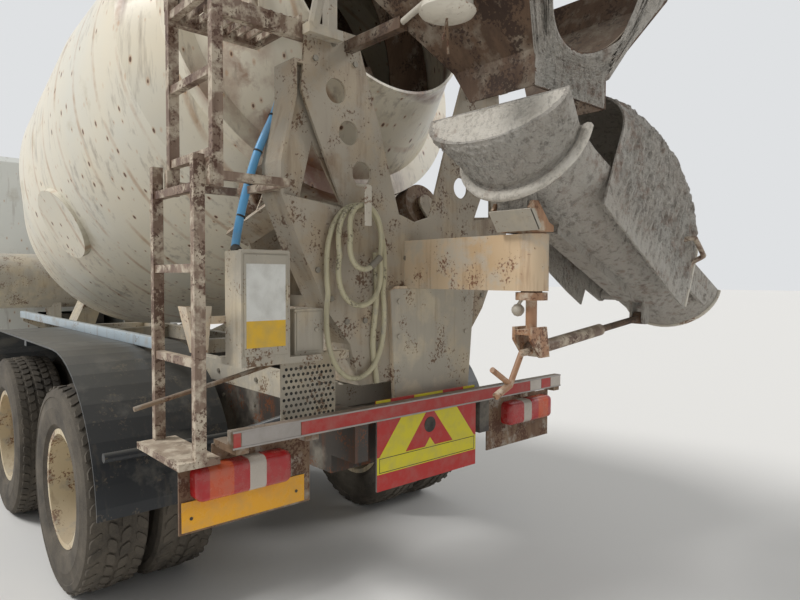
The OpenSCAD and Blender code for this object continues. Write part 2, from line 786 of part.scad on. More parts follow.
module discharge_funnel() {
    n = len(funnel_rows);
    pts = [for (r = funnel_rows) each [
        [r[2], -r[3], r[0]], [r[1], -r[3], r[0]], [r[1], r[3], r[0]], [r[2], r[3], r[0]],
        [r[2], r[3] - funnel_t, r[0]], [r[1] + funnel_t, r[3] - funnel_t, r[0]],
        [r[1] + funnel_t, -r[3] + funnel_t, r[0]], [r[2], -r[3] + funnel_t, r[0]]
    ]];
    cap = [[0, 1, 6, 7], [1, 2, 5, 6], [2, 3, 4, 5]];
    faces = concat(
        [for (c = cap) [for (k = [3:-1:0]) c[k]]],
        [for (i = [0:n - 2], j = [0:7]) let (a = 8 * i + j, b = 8 * i + (j + 1) % 8) [a, b, b + 8, a + 8]],
        [for (c = cap) [for (v = c) v + 8 * (n - 1)]]
    );
    color("#c2bbaa") {
        difference() {
            polyhedron(pts, faces, convexity = 6);
            // Round notch in the rear wall, between its two horns
            translate([-2400, 0, 2750]) rotate([0, 90, 0]) cylinder(r = 330, h = 320, $fn = 40);
            span([-2400, -430, 2720], [-2200, 430, 2900]);
        }
        // Brackets to the pedestal's arms
        mirror_y() span([-1650, 372, 2540], [ped_x0 - 0.3, 412, 2585]);
    }
}

// Platform beside the mouth with its grating and rails
module platform() {
    color("#b8ad95") {
        span([ped_x0 + 14.3, 400, 2550], [ped_x0 + 54, 1010, 2620]);
        span([-960, 612, 2600], [-920, 1010, 2660]);
        for (y = [635:45:995]) span([-1250, y, 2612], [-958, y + 12, 2640]);
        span([ped_x0 + 14.3, 1000, 2600], [-920, 1026, 2660]);
        span([ped_x0 + 14.3, 612, 2600], [-920, 628, 2640]);
        rod([-940, 1015, 2650], [-940, 1015, 3600], 19);
        rod([-940, 1015, 3590], [-940, 640, 3590], 19);
        rod([-940, 640, 3590], [-940, 640, 2640], 19);
    }
}

// A ladder section: stiles and rungs, [z0, z1]
module ladder_section(x0, z0, z1, rungs, w) {
    for (x = [x0, x0 + w - 30]) span([x, ladder_y - 20, z0], [x + 30, ladder_y + 20, z1]);
    for (z = rungs) span([x0 + 25, ladder_y - 15, z - 15], [x0 + w - 25, ladder_y + 15, z + 15]);
}

module ladder_upper() {
    color("#c8b795") {
        ladder_section(-1440, 1900, 3500, [2020, 2300, 2580], ladder_w);
        // Runners of the lower section
        for (x = [[-1438, -1370], [ladder_w - 1470, ladder_w - 1442]])
            span([x[0], ladder_y + 10, 1905], [x[1], ladder_y + 29.5, 1995]);
        // Stays to the pedestal and the platform
        for (x = [-1440, -1440 + ladder_w - 30]) span([x, 765, 1925], [x + 30, ladder_y, 1955]);
        span([-1438, 1026.3, 2605], [-1250, ladder_y + 2, 2635]);
        span([-1440, 765, 1925], [-1440 + ladder_w, 790, 1955]);
        span([-1290, ped_edge[4][0] + 0.3, 1930], [-1160, 770, 1955]);
    }
}

module ladder_lower() {
    color("#c8b795") translate([0, 50, 0])
        ladder_section(-1400, 940, 2010, [1290, 1620, 1900], ladder_w);
    color("#c8b795") span([-1400, ladder_y - 20, 930], [-1400 + ladder_w, ladder_y + 130, 955]);
}

// Arm from the column to the swivel post, with the column's front panel
arm_half = 65;

module slew_arm() {
    color("#cfc3a8") {
        difference() {
            union() {
                span([ped_x0, -arm_half, arm_z0], [post_x, arm_half, arm_z1]);
                translate([post_x, 0, arm_z0]) cylinder(r = arm_half, h = arm_z1 - arm_z0);
            }
            translate([post_x, 0, arm_z0 - 5]) cylinder(r = 42, h = arm_z1 - arm_z0 + 10);
        }
        plate_yz(ped_x0 - 20, 20, [[-355, frame_top + 25], [140, frame_top + 25], [170, 1530], [140, arm_z0 + 10], [-150, arm_z0 + 10],
            [-400, 1530]]);
    }
}

// Swivel post: pin, flanges, clevis for the strut and the bracket for the chute
module chute_post() {
    color("#b9a88a") {
        translate([post_x, 0, strut_z + 65]) cylinder(r = 22, h = arm_z0 - strut_z - 65);
        translate([post_x, 0, arm_z0 - 36]) cylinder(r = 62, h = 30);
        translate([post_x, 0, arm_z0 - 10]) cylinder(r = 41.7, h = arm_z1 - arm_z0 + 16);
        translate([post_x, 0, arm_z1 + 0.4]) cylinder(r = 55, h = 10);
        // Clevis of the strut with its pin
        for (x = [-46, 34])
            plate_yz(post_x + x, 12, [[60, strut_z + 90], [-40, strut_z + 90], [-60, strut_z - 30],
                [0, strut_z - 30], [60, strut_z + 40]]);
        span([post_x - 46, -40, strut_z + 60], [post_x + 46, 60, strut_z + 80]);
        translate([post_x - 46, strut_y, strut_z]) rotate([0, 90, 0]) cylinder(r = 15.8, h = 92);
        // Bracket of the chute with its pin
        for (x = [-92, 80])
            plate_yz(post_x + x, 12, [[-10, arm_z1 + 8], [80, arm_z1 + 8], [140, pin_z], [125, pin_z + 26],
                [88, pin_z + 26], [20, arm_z1 + 40], [-10, arm_z1 + 30]]);
        span([post_x - 92, -10, arm_z1 + 6], [post_x + 92, 55, arm_z1 + 16]);
        translate([post_x - 92, pin_y, pin_z]) rotate([0, 90, 0]) cylinder(r = 15.8, h = 184);
    }
}

// Children in the stowed chute's frame: +X down the slope, +Z square to it
module in_chute() {
    translate([chute_x, trough_y0, trough_z0])
        rotate([0, 0, -90]) rotate([0, chute_tilt, 0]) children();
}

// Points of a U section: half width w, depth of the round part d, height of the straight sides h
function u_half(w, d, h, n) = concat(
    [[w, h]], [for (i = [0:n]) let (a = 180 * i / n) [w * cos(a), -d * sin(a)]], [[-w, h]]
);

// Trough lofted through rows of [s, half width, depth, side height, lift], wall t
module trough(rows, t, n) {
    m = n + 3;
    ring = [for (r = rows)
        let (o = u_half(r[1], r[2], r[3], n), q = u_half(r[1] - t, r[2] - t, r[3], n))
        concat([for (p = o) [r[0], p[0], p[1] + r[4]]], [for (i = [m - 1:-1:0]) [r[0], q[i][0], q[i][1] + r[4]]])];
    k = 2 * m;
    pts = [for (g = ring) each g];
    faces = concat(
        [for (j = [0:m - 2]) each [[j, k - 2 - j, j + 1], [j, k - 1 - j, k - 2 - j]]],
        [for (i = [0:len(rows) - 2], j = [0:k - 1])
            let (a = k * i + j, b = k * i + (j + 1) % k) each [[a, b + k, a + k], [a, b, b + k]]],
        [for (j = [0:m - 2]) let (z = k * (len(rows) - 1))
            each [[z + j, z + j + 1, z + k - 2 - j], [z + j, z + k - 2 - j, z + k - 1 - j]]]
    );
    polyhedron(pts, faces, convexity = 8);
}

// Main chute: a scoop under the funnel, then the trough; [s, half width, depth, side height, lift]
main_rows = [
    [-200, trough_r + 70, trough_d - 76, 30, 0], [0, trough_r + 4, trough_d + 2, 10, 0], [120, trough_r, trough_d, 0, 0],
    [chute_l, trough_r - 6, trough_d, 0, 0]
];

// The room inside a trough, a little proud of its ends and its top
module trough_core(rows, t, n) {
    m = n + 3;
    pts = [for (r = rows) each [for (q = u_half(r[1] - t, r[2] - t, r[3] + 5, n)) [r[0], q[0], q[1] + r[4]]]];
    faces = concat(
        [[for (i = [m - 1:-1:0]) i]],
        [for (i = [0:len(rows) - 2], j = [0:m - 1])
            let (a = m * i + j, b = m * i + (j + 1) % m) each [[a, b, b + m], [a, b + m, a + m]]],
        [[for (i = [0:m - 1]) m * (len(rows) - 1) + i]]
    );
    polyhedron(pts, faces, convexity = 4);
}

// Main chute with its scoop's end plate, collar, stiffener, lugs and the pins of the folding chute
module main_chute() {
    color("#a9a294") {
        in_chute() {
            trough(main_rows, sheet_t, 16);
            plate_yz(-200, 9, u_half(trough_r + 68, trough_d - 78, 28, 16));
            difference() {
                union() {
                    plate_yz(-6, 12, u_half(trough_r + 40, trough_d + 46, 20, 16));
                    for (y = [-1, 1])
                        translate([fold_s, y * 170, fold_h])
                            rotate([-90 * y, 0, 0]) cylinder(r = 26, h = trough_r - 170, $fn = 16);
                    translate([0, 45, 0]) rotate([90, 0, 0]) linear_extrude(90)
                        polygon([[300, 8 - trough_d], [1000, 8 - trough_d], [1000, -trough_d - 35], [300, -trough_d - 35]]);
                }
                trough_core(main_rows, sheet_t - 2, 16);
            }
            for (y = [-1, 1])
                translate([fold_s, y * (trough_r - 6), fold_h]) rotate([-90 * y, 0, 0]) cylinder(r = 15.8, h = 36);
        }
        difference() {
            union() {
                translate([post_x - 70, 0, 0]) lug(pin_y, pin_z, 140, 110, 16);
                for (x = [-36, 24]) translate([post_x + x, 0, 0]) lug(eye_y, eye_z, 12, 90, 0);
            }
            in_chute() trough_core(main_rows, sheet_t - 2, 16);
        }
        translate([post_x - 36, eye_y, eye_z]) rotate([0, 90, 0]) cylinder(r = 12, h = 72);
    }
}

// Lug under the trough with its bore of radius r along X, or with none where its pin is welded in
module lug(y, z, w, h, r) {
    difference() {
        union() {
            translate([0, y, z]) rotate([0, 90, 0]) cylinder(r = 30, h = w);
            span([0, y - 28, z], [w, y + 28, z + h]);
        }
        if (r > 0) translate([-1, y, z]) rotate([0, 90, 0]) cylinder(r = r, h = w + 2);
    }
}

// Folding chute, stowed upside down over the trough:
// [s, height of the arch, height where the arch starts, lower edge of the sides]
fold_w = trough_r + 14;
fold_rows = [
    [240, 215, 165, -160], [440, 220, 205, -180], [620, 220, 220, -200], [780, 220, 200, -220],
    [900, 215, 130, -235], [chute_l - 360, 200, 30, -245]
];

module extension_chute() {
    color("#9c9a93")
        in_chute() {
            rotate([180, 0, 0])
                trough([for (r = fold_rows) [r[0], fold_w, r[1], r[2] - r[3], -r[2]]], sheet_t, 16);
            // Ears around the pins
            for (y = [-1, 1])
                translate([fold_s, y * (fold_w - 8), fold_h]) rotate([-90 * y, 0, 0])
                    difference() {
                        union() {
                            cylinder(r = 34, h = 14);
                            translate([-210, -34, 0]) cube([210, 68, 14]);
                        }
                        translate([0, 0, -1]) cylinder(r = 16, h = 20);
                    }
        }
}

// Strut: barrel with its eye, screw with its eye
strut_a = [post_x, strut_y, strut_z];
strut_b = [post_x, eye_y, eye_z];
strut_d = (strut_b - strut_a) / norm(strut_b - strut_a);

module strut_barrel() {
    color("#8f8a80")
        difference() {
            union() {
                rod(strut_a + strut_d * 30, strut_a + strut_d * 480, 26);
                translate([post_x - 26, strut_y, strut_z]) rotate([0, 90, 0]) cylinder(r = 32, h = 52);
            }
            rod(strut_a + strut_d * 60, strut_a + strut_d * 490, 17);
            translate([post_x - 40, strut_y, strut_z]) rotate([0, 90, 0]) cylinder(r = 16, h = 80);
        }
}

module strut_screw() {
    color("#7a4a30")
        difference() {
            union() {
                rod(strut_a + strut_d * 190, strut_b - strut_d * 22, 15);
                translate([post_x - 20, eye_y, eye_z]) rotate([0, 90, 0]) cylinder(r = 30, h = 40);
            }
            translate([post_x - 40, eye_y, eye_z]) rotate([0, 90, 0]) cylinder(r = 17, h = 80);
        }
}

// Hose hung on its hook, as one plain solid of its outer shape
module hose_hank() {
    color("#b5b09c")
        translate([-1385, 365, 1540])
            rotate([90, 0, 90])
                linear_extrude(60)
                    difference() {
                        hull() for (z = [-210, 210]) translate([0, z]) circle(r = 185);
                        hull() for (z = [-225, 225]) translate([0, z]) circle(r = 120);
                    }
}

// Control box on its shelf, the small box beside it, a splash plate and the hose hook
module control_box() {
    color("#8c8880") {
        span([-1330, 700, 1275], [-1200, 910, 1690]);
        span([-1330, 545, 1250], [-1120, 910, 1275]);
        span([ped_x0 + 14.3, 374, 1240], [-1240, 560, 1275]);
        span([-1300, 520, 1275], [-1200, 660, 1460]);
        span([-1262, 432, 1000], [-1254, 700, 1250]);
        span([-1400, 352, 1866], [ped_x0 - 0.3, 378, 1882.5]);
        span([-1400, 352, 1866], [-1392, 378, 1910]);
    }
}

// Wings over the driven wheels, with the stays that carry them
wing_r = tyre_r + 180;
wing_y0 = 620;
wing_y1 = 1245;
wing_z0 = 565;

module rear_wings() {
    color("#2f2d2b")
        mirror_y() {
            translate([0, wing_y1, 0]) rotate([90, 0, 0]) linear_extrude(wing_y1 - wing_y0)
                difference() {
                    wing_outline(wing_r + 8);
                    wing_outline(wing_r);
                    translate([-2000, wing_z0 - 2000]) square([6000, 2000]);
                }
            // Stays from the frame, between and behind the wheels
            span([680, rail_y, 930], [730, 600, 980]);
            span([680, 575, 930], [730, 635, hub_z + wing_r]);
            span([680, 600, hub_z + wing_r - 40], [730, wing_y1 - 20, hub_z + wing_r + 4]);
            span([-1045, rail_y + 0.3, 915], [-955, rail_y + 12, 1005]);
            rod([-1000, rail_y + 18, 960], [-735, wing_y0 + 15, 840], 20);
            rod([-735, wing_y0 + 10, 840], [-735, wing_y1 - 20, 840], 20);
        }
}

module wing_outline(r) {
    hull() for (x = [0, tandem_pitch]) translate([x, hub_z]) circle(r = r);
}

// Rear bar on its arms, with the carriers of lamps and plate
bar_z1 = 1046;
bar_z0 = 981;
carrier_x = -1270;

module underrun_bar() {
    color("#c8c2b8") {
        span([-1440, -bar_half, bar_z0], [-1400, bar_half, bar_z1]);
        mirror_y() {
            span([carrier_x, 570, 655], [carrier_x + 8, 1128, 924]);
            span([carrier_x, 570, 920], [carrier_x + 8, 1000, 970]);
            span([-1440, 640, 960], [carrier_x + 8, 700, bar_z0 + 5]);
            span([-1440, 940, 960], [carrier_x + 8, 990, bar_z0 + 5]);
        }
        span([-1400, -40, 700], [-1392, 40, bar_z0 + 10]);
    }
}

// Chevron board, and the number plate on its carrier
module rear_boards() {
    color("#c9a227") {
        span([-1408, -318, 665], [-1400, 318, bar_z0 - 2]);
        span([carrier_x - 4, 600, 664], [carrier_x, 1120, 775]);
    }
}

// Rear lamp clusters and head lamps
module lamps() {
    color("#8f2d1f")
        mirror_y() {
            span([carrier_x - 60, 690, 780], [carrier_x, 1085, 900]);
            span([bumper_x - 30, 705, 605], [bumper_x - 4, 1035, 785]);
        }
}

placed() chassis_frame();
placed() mixer_subframe();
placed() front_axle();
placed() rear_axles();
placed() knuckle_left();
placed() knuckle_right();
placed() tyre_front_left();
placed() tyre_front_right();
placed() tyres_mid_left();
placed() tyres_mid_right();
placed() tyres_rear_left();
placed() tyres_rear_right();
placed() rim_front_left();
placed() rim_front_right();
placed() rims_mid_left();
placed() rims_mid_right();
placed() rims_rear_left();
placed() rims_rear_right();
placed() cab_shell();
placed() door_left();
placed() door_right();
placed() cab_glass();
placed() door_glass_left();
placed() door_glass_right();
placed() cab_interior();
placed() front_bumper();
placed() mirrors();
placed() engine_block();
placed() side_tanks();
placed() water_tank();
placed() front_pedestal();
placed() drum_shell();
placed() drum_blades();
placed() support_roller_left();
placed() support_roller_right();
placed() rear_pedestal();
placed() feed_hopper();
placed() discharge_funnel();
placed() platform();
placed() ladder_upper();
placed() ladder_lower();
placed() slew_arm();
placed() chute_post();
placed() main_chute();
placed() extension_chute();
placed() strut_barrel();
placed() strut_screw();
placed() hose_hank();
placed() control_box();
placed() rear_wings();
placed() underrun_bar();
placed() rear_boards();
placed() lamps();
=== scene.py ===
"""Looks of a three-axle concrete mixer truck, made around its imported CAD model.

Lengths are in metres, in the CAD model's own frame: +X to the front, +Y to the left, +Z up.
"""

import json
import logging
import math
from dataclasses import dataclass, field
from enum import Enum
from typing import Callable, Iterable, Sequence, Union

import bmesh
import bpy
from mathutils import Matrix, Vector, noise


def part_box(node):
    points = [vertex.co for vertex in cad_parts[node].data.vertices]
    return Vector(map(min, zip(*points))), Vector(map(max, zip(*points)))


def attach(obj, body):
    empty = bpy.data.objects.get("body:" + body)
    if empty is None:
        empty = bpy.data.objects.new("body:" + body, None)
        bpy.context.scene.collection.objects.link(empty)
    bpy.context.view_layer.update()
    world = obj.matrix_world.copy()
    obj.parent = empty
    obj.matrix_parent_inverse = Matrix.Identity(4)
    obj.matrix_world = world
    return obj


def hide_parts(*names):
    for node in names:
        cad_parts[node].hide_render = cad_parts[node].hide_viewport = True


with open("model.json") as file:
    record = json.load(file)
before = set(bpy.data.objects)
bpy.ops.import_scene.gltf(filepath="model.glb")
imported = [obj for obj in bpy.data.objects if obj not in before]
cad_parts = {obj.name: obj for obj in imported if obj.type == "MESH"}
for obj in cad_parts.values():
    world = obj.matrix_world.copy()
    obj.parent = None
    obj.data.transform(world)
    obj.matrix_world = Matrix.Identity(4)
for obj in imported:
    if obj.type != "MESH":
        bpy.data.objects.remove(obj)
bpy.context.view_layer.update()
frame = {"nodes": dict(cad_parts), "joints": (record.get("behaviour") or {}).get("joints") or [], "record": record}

LOG = logging.getLogger("mixer_truck")
MM = 0.001
REAR_AXLE_X = next(j["pos_m"][0] for j in frame["joints"] if j["name"] == "spin_rear_left")
Point = Sequence[float]
Key = Union[str, int]
Pair = tuple[float, float]
Three = tuple[float, float, float]
Four = tuple[float, float, float, float]
Tree = bpy.types.NodeTree
Socket = bpy.types.NodeSocket
Layers = tuple[dict[Key, object], dict[Key, Socket]]
SIDES = (("left", 1), ("right", -1))
ALONG = (1.0, 0.0, 0.0)
SHARP_EDGE = math.radians(30)
SAME_PLACE = 1e-6
# How much of its 0 to 1 range a noise fills, and how many grains or cells make up one crowd of them.
NOISE_SPREAD = 0.42
CLUSTER_GRAINS = 9
CROWD_CELLS = 14


def at(x: float, y: float, z: float) -> Vector:
    """Turns a place given in mm from the ground under the rearmost axle into the row frame."""
    return Vector((x * MM + REAR_AXLE_X, y * MM, z * MM))


def srgb(code: str, alpha: float = 1.0) -> Four:
    """Turns an sRGB hex colour into Blender's linear colour.

    Args:
        code: Six hex digits with a leading hash, such as "#d9d2bf".
        alpha: Opacity of the colour.

    Returns:
        Linear red, green, blue and the given alpha.
    """
    parts = [int(code[i : i + 2], 16) / 255 for i in (1, 3, 5)]
    linear = [p / 12.92 if p <= 0.04045 else ((p + 0.055) / 1.055) ** 2.4 for p in parts]
    return (linear[0], linear[1], linear[2], alpha)


def add_node(
    tree: Tree, kind: str, settings: dict[Key, object] | None = None, links: dict[Key, Socket] | None = None
) -> bpy.types.Node:
    """Adds one shader node with its settings and its incoming links.

    Args:
        tree: Node tree of the material or the world.
        kind: Blender's type name of the node.
        settings: Properties of the node, or default values of its inputs by name or index.
        links: Outputs of other nodes, by the name or index of the input they feed.

    Returns:
        The new node.
    """
    node = tree.nodes.new(kind)
    for key, value in (settings or {}).items():
        if isinstance(key, str) and key in node.bl_rna.properties:
            setattr(node, key, value)
        else:
            node.inputs[key].default_value = value
    for key, socket in (links or {}).items():
        tree.links.new(socket, node.inputs[key])
    return node


def new_tree(name: str) -> tuple[bpy.types.Material, Tree, Socket]:
    """Makes an empty material whose patterns lie in the row frame.

    Args:
        name: Name of the material.

    Returns:
        The material, its node tree and the coordinates' socket, in metres.
    """
    material = bpy.data.materials.new(name)
    material.use_nodes = True
    material.node_tree.nodes.clear()
    coords = add_node(material.node_tree, "ShaderNodeTexCoord")
    return material, material.node_tree, coords.outputs["Object"]


def patches(
    tree: Tree,
    coords: Socket,
    grain_mm: float,
    share: float,
    softness: float = 0.06,
    stretch: Point = (1.0, 1.0, 1.0),
    detail: float = 6.0,
    cluster: float = 0.0,
) -> Socket:
    """Noise cut at a level, such as rust spots, splashes or worn paint.

    Args:
        tree: Node tree of the material.
        coords: Coordinates in metres.
        grain_mm: Typical size of a patch.
        share: About how much of the surface is covered, from 0 to 1.
        softness: Width of the patches' edges, in noise units.
        stretch: Scale along each axis; less than 1 makes patches longer that way.
        detail: Octaves of the noise.
        cluster: How strongly the patches gather in some places and leave others bare.

    Returns:
        A mask from 0 to 1.
    """
    scaled = add_node(tree, "ShaderNodeMapping", {"Scale": tuple(stretch)}, {"Vector": coords})
    noise = add_node(
        tree, "ShaderNodeTexNoise", {"Scale": 1 / (grain_mm * MM), "Detail": detail, "Roughness": 0.62},
        {"Vector": scaled.outputs["Vector"]}
    )
    value = noise.outputs["Fac"]
    if cluster:
        where = add_node(
            tree, "ShaderNodeTexNoise", {"Scale": 1 / (grain_mm * CLUSTER_GRAINS * MM), "Detail": 3.0},
            {"Vector": coords}
        )
        value = add_node(
            tree, "ShaderNodeMath", {"operation": "MULTIPLY_ADD", 1: cluster},
            {0: where.outputs["Fac"], 2: value}
        ).outputs[0]
    level = 0.5 + (0.5 - share) * NOISE_SPREAD + cluster * 0.5
    cut = add_node(
        tree, "ShaderNodeMapRange", {"From Min": level - softness / 2, "From Max": level + softness / 2},
        {"Value": value}
    )
    return cut.outputs["Result"]


def spots(
    tree: Tree,
    coords: Socket,
    cell_mm: float,
    share: float,
    softness: float = 0.04,
) -> Socket:
    """Single spots of many sizes, such as rust that breaks through where stones have chipped paint.

    Args:
        tree: Node tree of the material.
        coords: Coordinates in metres.
        cell_mm: Typical distance between two spots.
        share: Radius of the largest spots, as a share of that distance.
        softness: Width of the spots' edges, in the same share.

    Returns:
        A mask from 0 to 1.
    """
    scaled = add_node(tree, "ShaderNodeMapping", {"Scale": (1.0, 1.0, 0.5)}, {"Vector": coords})
    cells = add_node(
        tree, "ShaderNodeTexVoronoi", {"Scale": 1 / (cell_mm * MM)}, {"Vector": scaled.outputs["Vector"]}
    )
    chance = add_node(tree, "ShaderNodeSeparateColor", links={0: cells.outputs["Color"]})
    crowd = add_node(
        tree, "ShaderNodeTexNoise", {"Scale": 1 / (cell_mm * CROWD_CELLS * MM), "Detail": 2.0},
        {"Vector": coords}
    )
    size = cells.outputs["Distance"]
    for socket in (chance.outputs[0], crowd.outputs["Fac"]):
        size = add_node(
            tree, "ShaderNodeMath", {"operation": "MULTIPLY_ADD", 1: 0.5}, {0: socket, 2: size}
        ).outputs[0]
    level = share + 0.25
    cut = add_node(
        tree, "ShaderNodeMapRange", {"From Min": level + softness, "From Max": level}, {"Value": size}
    )
    return cut.outputs["Result"]


def blend(
    tree: Tree,
    mask: Socket,
    under: Socket | tuple[float, ...],
    over: Socket | tuple[float, ...],
    amount: float = 1.0,
) -> Socket:
    """Lays one colour over another where a mask says.

    Args:
        tree: Node tree of the material.
        mask: Where the upper colour shows.
        under: Lower colour, as a socket or a linear colour.
        over: Upper colour, as a socket or a linear colour.
        amount: Strength of the mask, from 0 to 1.

    Returns:
        The mixed colour.
    """
    factor = add_node(tree, "ShaderNodeMath", {"operation": "MULTIPLY", 1: amount}, {0: mask})
    values: dict[Key, object] = {"data_type": "RGBA"}
    sockets: dict[Key, Socket] = {0: factor.outputs[0]}
    for index, colour in ((6, under), (7, over)):
        if isinstance(colour, Socket):
            sockets[index] = colour
        else:
            values[index] = colour
    return add_node(tree, "ShaderNodeMix", values, sockets).outputs[2]


@dataclass(frozen=True)
class Surface:
    """A finish: each kind lays out its own patterns, and this makes the material round them."""

    name: str

    def layers(self, tree: Tree, coords: Socket) -> Layers:
        """Lays out the patterns; each kind of finish has its own."""
        raise NotImplementedError

    def material(self) -> bpy.types.Material:
        """Builds the material.

        Returns:
            The material, with one shader under the finish's patterns.
        """
        material, tree, coords = new_tree(self.name)
        shader = add_node(tree, "ShaderNodeBsdfPrincipled", *self.layers(tree, coords))
        add_node(tree, "ShaderNodeOutputMaterial", links={"Surface": shader.outputs["BSDF"]})
        return material


@dataclass(frozen=True)
class WeatheredPaint(Surface):
    """Two-pack enamel sprayed on welded sheet steel, chalked by sun and worn by years of concrete.

    The chalked skin gives a dull sheen; rust breaks through in specks and runs down in streaks,
    and grey cement dust and splashes lie over both, thickest on what faces up.
    """

    paint: str
    shade: str
    rust: str = "#6e4228"
    cement: str = "#a39d92"
    speck_mm: float = 13.0
    speck_share: float = 0.1
    streak_share: float = 0.2
    cement_share: float = 0.3
    cement_mm: float = 260.0
    settled: float = 0.35
    settles_from: float = 0.35
    settles_to: float = 0.95
    roughness: float = 0.55
    bump_mm: float = 0.8
    chalk_mm: float = 700.0
    streak_mm: float = 45.0
    # The paint's real grit is finer; it is drawn this coarse so that the render shows it.
    grit_mm: float = 11.0

    def marks(self, tree: Tree, coords: Socket, colour: Socket) -> Socket:
        """Adds marks that only one kind of panel has; here there are none."""
        return colour

    def specks(self, tree: Tree, coords: Socket, colour: Socket) -> Socket:
        """Adds the rust that breaks through, in ragged clusters."""
        mask = patches(tree, coords, self.speck_mm, self.speck_share, 0.07, detail=8, cluster=0.9)
        return blend(tree, mask, colour, srgb(self.rust), 0.85)

    def layers(self, tree: Tree, coords: Socket) -> Layers:
        """Lays out the paint, with its patterns laid over each other from the paint to the dust.

        Args:
            tree: Node tree of the material.
            coords: Coordinates in metres.

        Returns:
            The shader's settings and links.
        """
        broad = patches(tree, coords, self.chalk_mm, 0.5, 0.5, detail=3)
        colour = blend(tree, broad, srgb(self.paint), srgb(self.shade))
        colour = self.marks(tree, coords, colour)
        streaks = patches(
            tree, coords, self.streak_mm, self.streak_share, 0.2, (1.0, 1.0, 0.1), cluster=0.5
        )
        colour = blend(tree, streaks, colour, srgb(self.rust), 0.5)
        splash = patches(tree, coords, self.cement_mm, self.cement_share, 0.14, detail=10)
        colour = blend(tree, splash, colour, srgb(self.cement), 0.8)
        colour = self.specks(tree, coords, colour)
        geometry = add_node(tree, "ShaderNodeNewGeometry")
        up = add_node(tree, "ShaderNodeSeparateXYZ", links={0: geometry.outputs["Normal"]})
        dusty = add_node(
            tree, "ShaderNodeMapRange", {"From Min": self.settles_from, "From Max": self.settles_to},
            {"Value": up.outputs["Z"]}
        )
        # Paler on what faces up: settled cement dust; on the ladder its cream also stands for painted sunlight.
        colour = blend(tree, dusty.outputs["Result"], colour, srgb(self.cement), self.settled)
        grit = patches(tree, coords, self.grit_mm, 0.5, 0.6, detail=4)
        rough = add_node(
            tree, "ShaderNodeMapRange",
            {"To Min": self.roughness - 0.08, "To Max": min(self.roughness + 0.22, 1.0)}, {"Value": splash}
        )
        height = add_node(
            tree, "ShaderNodeMath", {"operation": "MULTIPLY_ADD", 1: 0.4}, {0: grit, 2: splash}
        )
        bump = add_node(
            tree, "ShaderNodeBump", {"Strength": 0.6, "Distance": self.bump_mm * MM},
            {"Height": height.outputs[0]}
        )
        settings = {"IOR": 1.5, "Specular IOR Level": 0.35}
        rough_and_bump = {"Roughness": rough.outputs["Result"], "Normal": bump.outputs["Normal"]}
        return settings, {"Base Color": colour, **rough_and_bump}


@dataclass(frozen=True)
class ChippedPaint(WeatheredPaint):
    """Enamel on a smooth panel, which stones have chipped: single rust spots, each with an orange stain."""

    stain: str = "#c08a55"
    spot_mm: float = 46.0
    spot_share: float = 0.24

    def specks(self, tree: Tree, coords: Socket, colour: Socket) -> Socket:
        """Adds the rust spots and the stains round them.

        Args:
            tree: Node tree of the material.
            coords: Coordinates in metres.
            colour: Colour under the marks.

        Returns:
            The colour with the marks on it.
        """
        stain = spots(tree, coords, self.spot_mm, self.spot_share + 0.06, 0.12)
        colour = blend(tree, stain, colour, srgb(self.stain), 0.4)
        return blend(tree, spots(tree, coords, self.spot_mm, self.spot_share), colour, srgb(self.rust), 0.9)


@dataclass(frozen=True)
class RustBand:
    """One set of rusty spiral lines on the drum.

    Args:
        lines: Lines side by side in one turn.
        width: Width of a line, as a share of the distance between two.
        colour: Its colour.
        reach: How far from the mouth it goes, in metres.
        amount: Its strength, from 0 to 1.
        softness: Width of its edges, in the same share.
    """

    lines: int
    width: float
    colour: str
    reach: float
    amount: float
    softness: float


